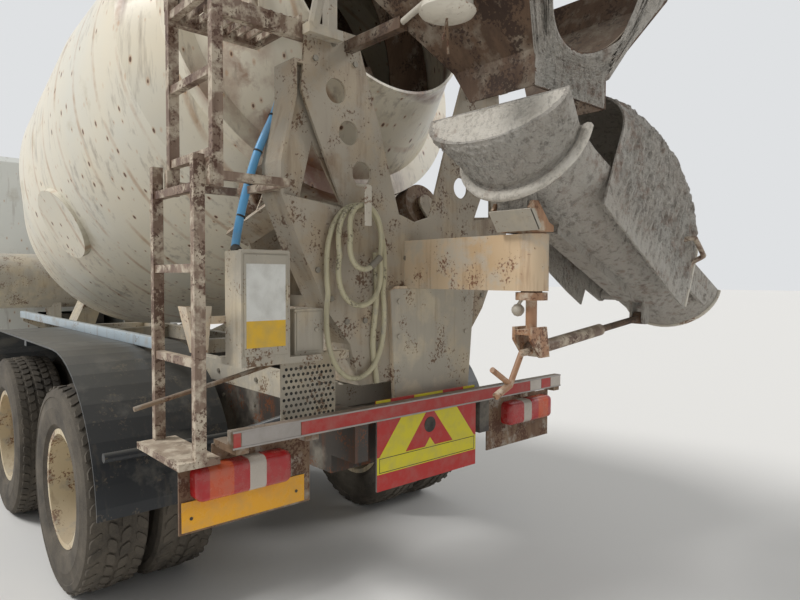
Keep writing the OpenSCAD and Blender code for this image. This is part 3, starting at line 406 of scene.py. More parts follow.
@dataclass(frozen=True)
class DrumPaint(ChippedPaint):
    """Cream enamel over rolled and welded drum steel.

    Rust bleeds along the spiral where the mixing blades are welded inside, and lies in wide
    brown bands on the rear cone, which concrete keeps wearing bare.
    """

    mouth: Point = (-1050.0, 0.0, 3007.0)
    tilt: float = math.radians(15.7)
    pitch: float = 1.15
    wave_mm: float = 667.0
    worn_mm: float = 260.0
    bands: tuple[RustBand, ...] = (
        RustBand(4, 0.045, "#a87544", 9.0, 0.7, 0.05),
        RustBand(2, 0.09, "#6d3a26", 0.85, 0.9, 0.04),
        RustBand(1, 0.2, "#8a523a", 0.68, 0.8, 0.05),
    )

    def marks(self, tree: Tree, coords: Socket, colour: Socket) -> Socket:
        """Draws the rusty spiral and the bands of the rear cone.

        Args:
            tree: Node tree of the material.
            coords: Coordinates in metres.
            colour: Colour under the marks.

        Returns:
            The colour with the marks on it.
        """

        def along(direction: Point) -> Socket:
            """Distance from the mouth's middle in one direction."""
            offset = add_node(
                tree, "ShaderNodeVectorMath", {"operation": "SUBTRACT", 1: tuple(at(*self.mouth))},
                {0: coords}
            ).outputs["Vector"]
            return add_node(
                tree, "ShaderNodeVectorMath", {"operation": "DOT_PRODUCT", 1: direction}, {0: offset}
            ).outputs["Value"]

        c, s = math.cos(self.tilt), math.sin(self.tilt)
        place = along((c, 0, -s))
        angle = add_node(
            tree, "ShaderNodeMath", {"operation": "ARCTAN2"}, {0: along((0, 1, 0)), 1: along((s, 0, c))}
        )
        turns = add_node(
            tree, "ShaderNodeMath", {"operation": "MULTIPLY", 1: -1 / (2 * math.pi)}, {0: angle.outputs[0]}
        )
        wave = add_node(
            tree, "ShaderNodeTexNoise", {"Scale": 1 / (self.wave_mm * MM), "Detail": 2.0}, {"Vector": coords}
        )
        for band in self.bands:
            phase = turns.outputs[0]
            for share, socket in ((1 / self.pitch, place), (0.05, wave.outputs["Fac"])):
                phase = add_node(
                    tree, "ShaderNodeMath", {"operation": "MULTIPLY_ADD", 1: share}, {0: socket, 2: phase}
                ).outputs[0]
            for operation, value in (("MULTIPLY", band.lines), ("PINGPONG", 0.5)):
                phase = add_node(
                    tree, "ShaderNodeMath", {"operation": operation, 1: value}, {0: phase}
                ).outputs[0]
            line = add_node(
                tree, "ShaderNodeMapRange",
                {"From Min": band.width / 2 + band.softness, "From Max": band.width / 2}, {"Value": phase}
            )
            reach = add_node(
                tree, "ShaderNodeMapRange", {"From Min": band.reach, "From Max": band.reach - 0.06},
                {"Value": place}
            )
            mask = line.outputs["Result"]
            for other in (reach.outputs["Result"], patches(tree, coords, self.worn_mm, 0.42, 0.25)):
                mask = add_node(
                    tree, "ShaderNodeMath", {"operation": "MULTIPLY"}, {0: mask, 1: other}
                ).outputs[0]
            colour = blend(tree, mask, colour, srgb(band.colour), band.amount)
        return colour


@dataclass(frozen=True)
class SetConcrete(Surface):
    """Cement mortar, splashed and dried in layers: pale grey lumps with painted shade in the hollows between them,
    gritty and quite matt.
    """

    dry: str = "#b4b0a8"
    hollow_shade: str = "#6f6a62"
    stain: str = "#8f7a66"
    rust: str = "#6e4a33"
    stain_mm: float = 240.0
    rust_mm: float = 60.0
    lump_mm: float = 24.0
    # Real sand is finer than this; it is drawn as coarse as the render can show.
    grit_mm: float = 7.0
    bump_mm: float = 9.0

    def layers(self, tree: Tree, coords: Socket) -> Layers:
        """Lays out the concrete, with painted shade where its lumps leave hollows.

        Args:
            tree: Node tree of the material.
            coords: Coordinates in metres.

        Returns:
            The shader's settings and links.
        """
        run = add_node(tree, "ShaderNodeMapping", {"Scale": (1.0, 1.0, 0.5)}, {"Vector": coords})
        lumps = add_node(
            tree, "ShaderNodeTexNoise", {"Scale": 1 / (self.lump_mm * MM), "Detail": 5.0, "Roughness": 0.6},
            {"Vector": run.outputs["Vector"]}
        )
        grit = add_node(
            tree, "ShaderNodeTexNoise", {"Scale": 1 / (self.grit_mm * MM), "Detail": 3.0}, {"Vector": coords}
        )
        height = add_node(
            tree, "ShaderNodeMath", {"operation": "MULTIPLY_ADD", 1: 0.35},
            {0: grit.outputs["Fac"], 2: lumps.outputs["Fac"]}
        )
        hollow_shade_mask = add_node(
            tree, "ShaderNodeMapRange", {"From Min": 0.66, "From Max": 0.52}, {"Value": height.outputs[0]}
        )
        broad = patches(tree, coords, self.stain_mm, 0.45, 0.5, detail=4)
        colour = blend(tree, broad, srgb(self.dry), srgb(self.stain), 0.35)
        # Painted shade: darker where the lumps leave hollows, standing in for the relief's own shade.
        colour = blend(tree, hollow_shade_mask.outputs["Result"], colour, srgb(self.hollow_shade), 0.55)
        rust = patches(tree, coords, self.rust_mm, 0.06, 0.2, cluster=0.8)
        colour = blend(tree, rust, colour, srgb(self.rust), 0.6)
        bump = add_node(
            tree, "ShaderNodeBump", {"Strength": 1.0, "Distance": self.bump_mm * MM},
            {"Height": height.outputs[0]}
        )
        settings = {"Roughness": 0.9, "IOR": 1.5, "Specular IOR Level": 0.3}
        return settings, {"Base Color": colour, "Normal": bump.outputs["Normal"]}


@dataclass(frozen=True)
class PlainFinish(Surface):
    """An even finish of one colour, such as reflective sheet, moulded plastic or bare metal.

    Its own sheen tells it from the chalked paint; a light film of dust dulls it in places.
    """

    colour: str
    roughness: float = 0.4
    metallic: float = 0.0
    dust: str = "#8f897d"
    dust_share: float = 0.3
    dust_mm: float = 70.0

    def layers(self, tree: Tree, coords: Socket) -> Layers:
        """Lays out the finish, duller where dust lies.

        Args:
            tree: Node tree of the material.
            coords: Coordinates in metres.

        Returns:
            The shader's settings and links.
        """
        film = patches(tree, coords, self.dust_mm, self.dust_share, 0.35, detail=8)
        colour = blend(tree, film, srgb(self.colour), srgb(self.dust), 0.4)
        rough = add_node(
            tree, "ShaderNodeMapRange",
            {"To Min": self.roughness, "To Max": min(self.roughness + 0.3, 1.0)}, {"Value": film}
        )
        settings = {"IOR": 1.5, "Metallic": self.metallic}
        return settings, {"Base Color": colour, "Roughness": rough.outputs["Result"]}


@dataclass(frozen=True)
class TyreRubber(Surface):
    """Carbon-black natural rubber, moulded; dry yellow dust from the yard lies on it."""

    name: str = "tyre_rubber_moulded"
    rubber: str = "#2f2d2b"
    dust: str = "#8d8272"
    dust_mm: float = 160.0
    # The mould's grain is finer; it is drawn this coarse so that the render shows it.
    grain_mm: float = 7.0
    bump_mm: float = 0.5

    def layers(self, tree: Tree, coords: Socket) -> Layers:
        """Lays out the rubber, with dust in wide patches and in its grain.

        Args:
            tree: Node tree of the material.
            coords: Coordinates in metres.

        Returns:
            The shader's settings and links.
        """
        broad = patches(tree, coords, self.dust_mm, 0.5, 0.5, detail=6)
        fine = patches(tree, coords, self.grain_mm, 0.5, 0.4, detail=3)
        colour = blend(tree, broad, srgb(self.rubber), srgb(self.dust), 0.45)
        colour = blend(tree, fine, colour, srgb(self.dust), 0.16)
        bump = add_node(
            tree, "ShaderNodeBump", {"Strength": 0.4, "Distance": self.bump_mm * MM}, {"Height": fine}
        )
        settings = {"Roughness": 0.88, "IOR": 1.52, "Specular IOR Level": 0.3}
        return settings, {"Base Color": colour, "Normal": bump.outputs["Normal"]}


@dataclass(frozen=True)
class WindowGlass(Surface):
    """Laminated float glass with a faint green tint; it shows the dark cab behind it."""

    name: str = "laminated_glass_float"
    tint: str = "#c7d6d2"
    film_mm: float = 300.0

    def layers(self, tree: Tree, coords: Socket) -> Layers:
        """Lays out the glass, clear where it is wiped and dull where a film of dust lies.

        Args:
            tree: Node tree of the material.
            coords: Coordinates in metres.

        Returns:
            The shader's settings and links.
        """
        film = patches(tree, coords, self.film_mm, 0.4, 0.6)
        rough = add_node(tree, "ShaderNodeMapRange", {"To Min": 0.02, "To Max": 0.2}, {"Value": film})
        settings = {"Base Color": srgb(self.tint), "IOR": 1.52, "Transmission Weight": 0.9}
        return settings, {"Roughness": rough.outputs["Result"]}


class Finish(Enum):
    """The truck's finishes; each value builds its material once, in `material_of`."""

    # Cream and still a little glossy; small rust spots and faint spiral lines.
    DRUM = DrumPaint("enamel_on_drum_steel", "#e9ddc4", "#d9d6c9", rust="#553524", cement_share=0.14,
                     streak_share=0.1, cement="#c6bda9", roughness=0.42, settled=0.1, spot_mm=38,
                     spot_share=0.2)
    # Dull beige under grey splashes.
    MIXER = WeatheredPaint("enamel_on_mixer_steel", "#cdc3ac", "#ab9c84", rust="#66482f",
                           speck_share=0.12, cement_share=0.58, streak_share=0.2, cement_mm=200,
                           cement="#aaa498", bump_mm=1.5)
    # The same enamel nearer the chutes: greyer, rougher and more crusted.
    PEDESTAL = WeatheredPaint("enamel_on_pedestal_steel", "#bcae96", "#8f7f6b", rust="#5c402c",
                              speck_share=0.14, cement_share=0.52, streak_share=0.3, cement_mm=150,
                              cement="#a49c8e", bump_mm=2.5)
    # Pale, with a tan bloom where the enamel has worn thin.
    ARM = WeatheredPaint("enamel_on_arm_steel", "#ddd2bd", "#c3a279", rust="#70412a",
                         speck_share=0.12, cement_share=0.36, streak_share=0.22, cement="#bdb5a6",
                         cement_mm=130)
    # Nearly black and dusty.
    CHASSIS = WeatheredPaint("chassis_enamel_sprayed", "#4b4641", "#37332f", cement="#8a8376",
                             cement_share=0.35, speck_share=0.2)
    # Smooth white that still shines, as stoved enamel does.
    CAB = ChippedPaint("cab_enamel_baked", "#dfdfd8", "#d3d5d0", rust="#6b4a36", spot_share=0.12,
                       settled=0.15, streak_share=0.03, cement_share=0.12, cement="#b9b4a8",
                       roughness=0.25, bump_mm=0.1)
    # Cream, browned by brake dust.
    RIM = WeatheredPaint("rim_enamel_sprayed", "#d8ccae", "#bda988", speck_share=0.14,
                         streak_share=0.16, cement_share=0.3, cement_mm=120)
    # Mid grey, lumpy, with no shine at all; painted shade lies in its hollows.
    CRUST = SetConcrete("mortar_crust_dried", "#bbb7af", "#6f6a62", lump_mm=27, bump_mm=32)
    # Almost white and finer: a thinner skin of mortar, painted paler as the sunlit copy of the crust, for the
    # scoop's end and the collar's rim.
    CRUST_PALE_SUNLIT = SetConcrete("mortar_skin_dried_sunlit", "#d2cdc3", "#99938a", "#b3a591", lump_mm=18, bump_mm=12)
    # Brown all over, with a dry sheen.
    RUSTY = WeatheredPaint("mild_steel_rusted", "#8a765f", "#6b503b", rust="#4f2f1f",
                           speck_share=0.3, streak_share=0.4, cement_share=0.34, cement_mm=80,
                           roughness=0.75)
    # Dark brown, wetted and dried many times; patches of mortar film.
    STAINED = WeatheredPaint("mild_steel_stained", "#6f5a47", "#4e392b", rust="#33241c",
                             speck_share=0.3, streak_share=0.4, cement_share=0.3, cement_mm=140,
                             roughness=0.8, bump_mm=2.0, cement="#8d8375")
    # Brown steel showing through pale splashes, worn by boots and hands; the cream on what faces up is partly
    # cement dust, partly painted sunlight on the lit faces.
    LADDER = WeatheredPaint("enamel_on_ladder_steel", "#94806f", "#6f594a", rust="#4b2f21",
                            speck_share=0.22, streak_share=0.4, cement_share=0.42, cement_mm=55,
                            cement="#c6baa6")
    # Tan grease over brown steel.
    POST = WeatheredPaint("steel_post_greased", "#b8977a", "#9a7153", rust="#5e3a26",
                          speck_share=0.2, streak_share=0.3, cement_share=0.34, cement_mm=70,
                          cement="#c4b8a4")
    # Charcoal and satin, with dust on what faces up.
    PLASTIC = WeatheredPaint("polyethylene_moulded", "#35383b", "#292b2d", rust="#5f574b",
                             cement="#6d6a63", speck_share=0.05, streak_share=0.1,
                             cement_share=0.25, roughness=0.45, settled=0.4, bump_mm=0.2)
    # Dark and without shine; its weave is too fine to show, so only its tone varies.
    FABRIC = WeatheredPaint("seat_cloth_woven", "#35353a", "#2b2b30", speck_share=0.01,
                            cement_share=0.05, streak_share=0.02, roughness=0.9, settled=0.1)
    # Yellowed and satin, greyed by mortar.
    HOSE = WeatheredPaint("pvc_hose_extruded", "#c4bd9f", "#aaa386", rust="#6b6354", settled=0.1,
                          speck_share=0.06, cement_share=0.2, cement_mm=60, roughness=0.45)
    # Blue-grey zinc, rolled smooth.
    RAIL = WeatheredPaint("galvanised_steel_rolled", "#b4c0c6", "#9dabb3", rust="#7c6a58",
                          speck_share=0.05, streak_share=0.08, cement_share=0.2, roughness=0.4)
    # Pale steel, kept bright by rubbing; on the chutes' lips it is also painted sunlight on their lit rims.
    BRIGHT_WORN_AND_SUNLIT = WeatheredPaint("steel_worn_bright_and_sunlit", "#d5cfc2", "#beb6a6", rust="#7d5a40",
                            speck_share=0.08, streak_share=0.15, cement_share=0.25, roughness=0.45)
    # Satin grey metal, dulled by dust.
    BAR_SILVER = PlainFinish("aluminium_extruded", "#9c9691", 0.42, 0.55)
    # Deep red film with an even sheen.
    BAR_RED = PlainFinish("red_sheet_reflective", "#a3231c", 0.35)
    # Greyed white film.
    BAR_WHITE = PlainFinish("white_sheet_reflective", "#b9b0a6", 0.4)
    # Greenish yellow that looks lit.
    BOARD_YELLOW = PlainFinish("yellow_sheet_fluorescent", "#d2c51c", 0.4, dust_share=0.2)
    # Strong red ink on sheet.
    BOARD_RED = PlainFinish("red_sheet_printed", "#b0201a", 0.4, dust_share=0.2)
    # Warm yellow, the glossiest of the sheets.
    PLATE_YELLOW = PlainFinish("acrylic_plate_moulded", "#e3a318", 0.25, dust_share=0.2)
    # Clean white film.
    SIGN_WHITE = PlainFinish("white_vinyl_printed", "#dcdcd6", 0.4)
    # Warm yellow film.
    SIGN_YELLOW = PlainFinish("yellow_vinyl_printed", "#e0b32a", 0.4)
    # Glossy deep red.
    LENS = PlainFinish("red_lens_moulded", "#a81f22", 0.18)
    # Glossy orange red.
    LENS_AMBER = PlainFinish("amber_lens_moulded", "#c24a1c", 0.18)
    # Glossy, yellowed and dusty.
    LENS_CLEAR = PlainFinish("clear_lens_moulded", "#b5aca0", 0.2)
    # Black and nearly matt, with grey dust; on the holes of the board and the drilled plate it is painted shade.
    BLACK = PlainFinish("rubber_moulded", "#1e1d1c", 0.7, dust_share=0.4)
    # Light blue with a soft sheen.
    BLUE = PlainFinish("nylon_pipe_extruded", "#5fa3d2", 0.4, dust_share=0.25)
    # Grey metal that mirrors the sky softly.
    TANK = PlainFinish("aluminium_tank_rolled", "#a5a5a0", 0.4, 0.6, dust_share=0.6)
    # Dull grey plating.
    ZINC = PlainFinish("bolt_steel_plated", "#8e887c", 0.45, 0.6, dust_share=0.5)
    # Satin grey mill finish.
    BOARD = PlainFinish("aluminium_board_rolled", "#8f8b86", 0.4, 0.5)
    # Dry black under yellow dust.
    RUBBER = TyreRubber()
    # Clear, faintly green.
    GLASS = WindowGlass()


NODE_FINISH = {
    "ladder_upper": Finish.LADDER,
    "ladder_lower": Finish.LADDER,
    "slew_arm": Finish.ARM,
    "chute_post": Finish.POST,
    "strut_barrel": Finish.LADDER,
    "strut_screw": Finish.STAINED,
    "discharge_funnel": Finish.STAINED,
    "underrun_bar": Finish.RUSTY,
    "drum_blades": Finish.STAINED,
    "platform": Finish.LADDER,
    "extension_chute": Finish.CRUST,
    "main_chute": Finish.CRUST,
    "side_tanks": Finish.TANK,
    "rear_pedestal": Finish.PEDESTAL,
}


_MATERIALS: dict[str, bpy.types.Material] = {}


def material_of(finish: Finish) -> bpy.types.Material:
    """Gives a finish's material and builds it at its first use.

    Args:
        finish: The finish.

    Returns:
        Its material.
    """
    if finish.name not in _MATERIALS:
        _MATERIALS[finish.name] = finish.value.material()
    return _MATERIALS[finish.name]


SLOT_FINISH = {
    "frame_paint": Finish.CHASSIS,
    "mixer_paint": Finish.MIXER,
    "cab_paint": Finish.CAB,
    "drum_paint": Finish.DRUM,
    "rim_paint": Finish.RIM,
    "tyre_rubber": Finish.RUBBER,
    "window_glass": Finish.GLASS,
    "trim_plastic": Finish.PLASTIC,
    "seat_fabric": Finish.FABRIC,
    "cast_steel": Finish.CHASSIS,
    "chute_steel": Finish.CRUST,
    "bare_steel": Finish.RUSTY,
    "hose_rubber": Finish.HOSE,
    "lamp_plastic": Finish.LENS,
    "board_sheet": Finish.BOARD,
}


@dataclass
class PhotoCamera:
    """The camera that took the photograph, from its fitted place and directions."""

    rear_axle_to_camera: Point = (-3.4412, 2.0096, 1.5921)
    yaw_right: float = math.radians(41.852)
    pitch_down: float = math.radians(2.113)
    roll: float = math.radians(0.211)
    focal_px: float = 621.96
    width_px: float = 800.0
    sensor_mm: float = 36.0
    far_m: float = 400.0

    def build(self) -> None:
        """Makes the camera."""
        data = bpy.data.cameras.new("photo_camera")
        data.sensor_width = self.sensor_mm
        data.lens = self.focal_px / self.width_px * self.sensor_mm
        data.clip_end = self.far_m
        camera = bpy.data.objects.new("photo_camera", data)
        place = Vector(self.rear_axle_to_camera) + Vector((REAR_AXLE_X, 0, 0))
        turn = (
            Matrix.Rotation(-math.pi / 2 - self.yaw_right, 4, "Z")
            @ Matrix.Rotation(math.pi / 2 - self.pitch_down, 4, "X")
            @ Matrix.Rotation(self.roll, 4, "Z")
        )
        camera.matrix_world = Matrix.Translation(place) @ turn
        bpy.context.scene.collection.objects.link(camera)
        bpy.context.scene.camera = camera


@dataclass
class Studio:
    """Plain pale floor, pale world and two soft suns, each with its power, elevation and azimuth."""

    floor_half: float = 90.0
    floor: str = "#d8d6d2"
    backdrop: str = "#dfe1e3"
    world_strength: float = 0.62
    suns: tuple[Three, ...] = ((2.3, 48, 152), (0.7, 35, -40))
    sun_width: float = math.radians(18)

    def build(self) -> None:
        """Makes the floor, the world and the lamps."""
        mesh = bpy.data.meshes.new("floor")
        h = self.floor_half
        mesh.from_pydata([(-h, -h, 0), (h, -h, 0), (h, h, 0), (-h, h, 0)], [], [(0, 1, 2, 3)])
        floor = bpy.data.objects.new("floor", mesh)
        bpy.context.scene.collection.objects.link(floor)
        material, tree, _ = new_tree("studio_floor")
        shader = add_node(
            tree, "ShaderNodeBsdfPrincipled", {"Base Color": srgb(self.floor), "Roughness": 0.95}
        )
        add_node(tree, "ShaderNodeOutputMaterial", links={"Surface": shader.outputs["BSDF"]})
        mesh.materials.append(material)
        world = bpy.data.worlds.new("studio")
        world.use_nodes = True
        world.node_tree.nodes.clear()
        path = add_node(world.node_tree, "ShaderNodeLightPath")
        seen = path.outputs["Is Camera Ray"]
        for ray in ("Is Glossy Ray", "Is Transmission Ray"):
            seen = add_node(
                world.node_tree, "ShaderNodeMath", {"operation": "MAXIMUM"}, {0: seen, 1: path.outputs[ray]}
            ).outputs[0]
        strength = add_node(
            world.node_tree, "ShaderNodeMapRange", {"To Min": self.world_strength, "To Max": 1.0},
            {"Value": seen}
        )
        light = add_node(
            world.node_tree, "ShaderNodeBackground", {"Color": srgb(self.backdrop)},
            {"Strength": strength.outputs["Result"]}
        )
        add_node(world.node_tree, "ShaderNodeOutputWorld", links={"Surface": light.outputs["Background"]})
        bpy.context.scene.world = world
        for index, (power, elevation, azimuth) in enumerate(self.suns):
            data = bpy.data.lights.new(f"soft_sun_{index}", "SUN")
            data.energy = power
            data.angle = self.sun_width
            lamp = bpy.data.objects.new(data.name, data)
            lamp.rotation_euler = (math.radians(90 - elevation), 0, math.radians(azimuth))
            bpy.context.scene.collection.objects.link(lamp)
        bpy.context.scene.view_settings.view_transform = "Standard"


class Shape:
    """Vertices and faces of one piece, gathered from simple forms."""

    def __init__(self) -> None:
        """Starts an empty shape."""
        self.points: list[Vector] = []
        self.faces: list[tuple[int, ...]] = []

    def add(
        self,
        points: Iterable[Point],
        faces: Iterable[Sequence[int]],
        place: Matrix | None = None,
    ) -> None:
        """Adds points and faces.

        Args:
            points: New points.
            faces: Faces over the new points, counted from 0.
            place: Where the new points go.
        """
        start = len(self.points)
        move = place or Matrix.Identity(4)
        self.points += [move @ Vector(p) for p in points]
        flip = move.determinant() < 0
        for face in faces:
            ring = tuple(start + i for i in face)
            self.faces.append(ring[::-1] if flip else ring)

    def span(self, one: Point, other: Point) -> None:
        """Adds a box between two opposite corners, in mm.

        Args:
            one: One corner.
            other: The corner across from it.
        """
        xs, ys, zs = (sorted(pair) for pair in zip(one, other))
        corners = [at(x, y, z) for x in xs for y in ys for z in zs]
        faces = [(0, 1, 3, 2), (4, 6, 7, 5), (0, 4, 5, 1), (2, 3, 7, 6), (0, 2, 6, 4), (1, 5, 7, 3)]
        self.add(corners, faces)

    def rings(
        self, rings: Sequence[Sequence[Point]], closed: bool = False, place: Matrix | None = None
    ) -> None:
        """Joins rings of equal length by quads.

        Args:
            rings: Rings of points in order.
            closed: True where the last ring joins the first; else both ends get caps.
            place: Where the points go.
        """
        count = len(rings[0])
        points = [p for ring in rings for p in ring]
        faces: list[Sequence[int]] = []
        spans = len(rings) if closed else len(rings) - 1
        for i in range(spans):
            a, b = i * count, (i + 1) % len(rings) * count
            for j in range(count):
                k = (j + 1) % count
                faces.append((a + j, b + j, b + k, a + k))
        if not closed:
            faces.append(tuple(range(count)))
            last = (len(rings) - 1) * count
            faces.append(tuple(last + count - 1 - j for j in range(count)))
        self.add(points, faces, place)

    def lathe(
        self, profile: Sequence[Pair], steps: int, closed: bool, place: Matrix | None = None
    ) -> None:
        """Turns a profile about the local Z axis.

        Args:
            profile: Corners of the profile: (radius, place along the axis).
            steps: Steps of the full turn.
            closed: True for a ring's profile; False for one that starts and ends on the axis.
            place: Where the form goes.
        """
        rings = []
        for i in range(steps):
            a = 2 * math.pi * i / steps
            rings.append([(r * math.cos(a), r * math.sin(a), h) for r, h in profile])
        if closed:
            self.rings(rings, True, place)
        else:
            self._lathe_open(rings, place)

    def _lathe_open(self, rings: Sequence[Sequence[Point]], place: Matrix | None) -> None:
        """Joins a lathe's rings along a profile that starts and ends on the axis.

        Args:
            rings: The profile at each step of the turn.
            place: Where the form goes.
        """
        count, steps = len(rings[0]), len(rings)
        faces = []
        for i in range(steps):
            a, b = i * count, (i + 1) % steps * count
            for j in range(count - 1):
                faces.append((a + j, b + j, b + j + 1, a + j + 1))
        self.add([p for ring in rings for p in ring], faces, place)

    def tube(self, path: Sequence[Point], radius: float, sides: int = 10) -> None:
        """Adds a round bar along a path, with flat ends.

        Args:
            path: Places along its middle, in metres.
            radius: Its radius, in metres.
            sides: Corners of its section.
        """
        line = [Vector(p) for p in path]
        side = None
        rings = []
        for i, point in enumerate(line):
            ahead = (line[min(i + 1, len(line) - 1)] - line[max(i - 1, 0)]).normalized()
            if side is None:
                side = ahead.orthogonal().normalized()
            side = (side - ahead * side.dot(ahead)).normalized()
            up = ahead.cross(side)
            turns = [2 * math.pi * k / sides for k in range(sides)]
            rings.append([point + radius * (math.cos(a) * side + math.sin(a) * up) for a in turns])
        self.rings([ring[::-1] for ring in rings])

    def plate_yz(self, outline: Sequence[Pair], x0: float, x1: float) -> None:
        """Adds a plate across the truck from its outline of (y, z), all in mm."""
        self.rings([[at(x, y, z) for y, z in outline] for x in (x0, x1)])

    def rod(self, start: Point, end: Point, radius: float, sides: int = 16) -> None:
        """Adds a round bar between two places, all in mm."""
        self.tube([at(*start), at(*end)], radius * MM, sides)

    def disc(self, centre: Point, normal: Point, radius: float, height: float, sides: int = 6) -> None:
        """Adds a short cylinder or, with six sides, a bolt head; all in mm."""
        base = at(*centre)
        self.tube([base, base + Vector(normal).normalized() * height * MM], radius * MM, sides)

    def piece(
        self,
        name: str,
        body: str,
        finish: Finish,
        smooth: float = 35.0,
        bevel_mm: float = 0.0,
        *,
        slot: str,
    ) -> bpy.types.Object:
        """Makes the object and lets it ride on a body.

        Args:
            name: Name of the piece.
            body: CAD body that carries it.
            finish: Its finish.
            smooth: Edges flatter than this angle, in degrees, are shaded smooth.
            bevel_mm: Width of the rounding of the sharp edges; 0 keeps them.
            slot: Material slot of the record that it belongs to; not used.

        Returns:
            The new object.
        """
        mesh = bpy.data.meshes.new(name)
        mesh.from_pydata([tuple(p) for p in self.points], [], self.faces)
        work = bmesh.new()
        work.from_mesh(mesh)
        bmesh.ops.remove_doubles(work, verts=work.verts, dist=SAME_PLACE)
        bmesh.ops.recalc_face_normals(work, faces=work.faces)
        if bevel_mm:
            sharp = [e for e in work.edges if e.is_manifold and e.calc_face_angle(0.0) > SHARP_EDGE]
            bmesh.ops.bevel(work, geom=sharp, offset=bevel_mm * MM, segments=3, profile=0.5, affect="EDGES")
        work.to_mesh(mesh)
        work.free()
        mesh.materials.append(material_of(finish))
        mesh.shade_smooth()
        mesh.set_sharp_from_angle(angle=math.radians(smooth))
        piece = bpy.data.objects.new(name, mesh)
        bpy.context.scene.collection.objects.link(piece)
        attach(piece, body)
        LOG.info("%s: %d faces on %s", name, len(mesh.polygons), body)
        return piece


class Tread(Enum):
    """Patterns of tyre tread."""

    RIB = "rib"
    BLOCK = "block"
    LUG = "lug"


@dataclass
class Tyre:
    """One truck tyre with its tread, its axis along Y and its middle at the origin."""

    radius: float
    half_width: float
    bead: float
    tread: Tread
    depth: float = 14 * MM
    steps: int = 96

    def profile(self) -> list[Pair]:
        """Section of the carcass, with a rim flange groove and two ridges on each wall.

        Returns:
            Its corners as (radius, place across), one closed ring.
        """
        r, w = self.radius - self.depth, self.half_width
        wall = self.radius - self.bead
        half = [
            (self.bead, w * 0.69), (self.bead + 0.02 * wall, w * 0.79), (self.bead + 0.11 * wall, w * 0.9),
            (self.bead + 0.13 * wall, w * 0.94), (self.bead + 0.3 * wall, w * 0.985),
            (self.bead + 0.5 * wall, w), (self.bead + 0.52 * wall, w * 0.985),
            (self.bead + 0.72 * wall, w * 0.965), (self.bead + 0.74 * wall, w * 0.99),
            (self.bead + 0.87 * wall, w * 0.94), (r - 0.004, w * 0.84), (r, w * 0.72), (r + 0.001, w * 0.3),
        ]
        return half + [(rr, -ww) for rr, ww in reversed(half)]

    def rows(self) -> list[tuple[float, float, int, float, float]]:
        """Rows of tread blocks.

        Returns:
            For each row: middle across, width, count round, share filled and skew.
        """
        w = self.half_width
        if self.tread is Tread.RIB:
            return [(c * w, 0.3 * w, 48, 0.93, 0.0) for c in (-0.68, -0.33, 0.0, 0.33, 0.68)]
        if self.tread is Tread.BLOCK:
            places = ((-0.7, 1), (-0.36, -1), (0.0, 1), (0.36, -1), (0.7, 1))
            return [(c * w, 0.27 * w, 56, 0.8, 0.25 * lean) for c, lean in places]
        return [(-0.7 * w, 0.36 * w, 40, 0.62, 0.5), (-0.2 * w, 0.3 * w, 40, 0.86, -0.3),
                (0.2 * w, 0.3 * w, 40, 0.86, 0.3), (0.7 * w, 0.36 * w, 40, 0.62, -0.5)]

    def build(self, shape: Shape, place: Matrix) -> None:
        """Adds the tyre to a shape.

        Args:
            shape: The shape that it joins.
            place: Where its middle goes.
        """
        turn = place @ Matrix.Rotation(-math.pi / 2, 4, "X")
        shape.lathe(self.profile(), self.steps, True, turn)
        top, base = self.radius, self.radius - self.depth - 0.006
        for index, (middle, width, count, filled, skew) in enumerate(self.rows()):
            pitch = 2 * math.pi / count
            for i in range(count):
                start = pitch * (i + 0.5 * (index % 2))
                sizes = (pitch * filled, middle, width, skew * pitch)
                self._block(shape, turn, start, sizes, (base, top))

    def _block(
        self,
        shape: Shape,
        turn: Matrix,
        start: float,
        sizes: Four,
        reach: Pair,
    ) -> None:
        """Adds one tread block, tapered towards its top.

        Args:
            shape: The shape that it joins.
            turn: Where the tyre goes.
            start: Angle of the block's middle.
            sizes: Its angle round the tyre, its middle across, its width and its skew.
            reach: Radius of its foot and of its top.
        """
        length, middle, width, skew = sizes
        base, top = reach
        quarter = [(-0.5, -0.32), (-0.3, -0.5), (0.3, -0.5), (0.5, -0.32)]
        outline = quarter + [(-u, -v) for u, v in quarter]
        crown = 0.012 * abs(middle) / self.half_width
        rings = []
        for radius, inset in ((base, 1.0), (top - crown - 0.002, 0.95), (top - crown, 0.9)):
            ring = []
            for u, v in outline:
                a = start + u * inset * length + v * skew
                across = middle + v * inset * width
                ring.append((radius * math.cos(a), radius * math.sin(a), across))
            rings.append(ring)
        shape.rings(rings, False, turn)


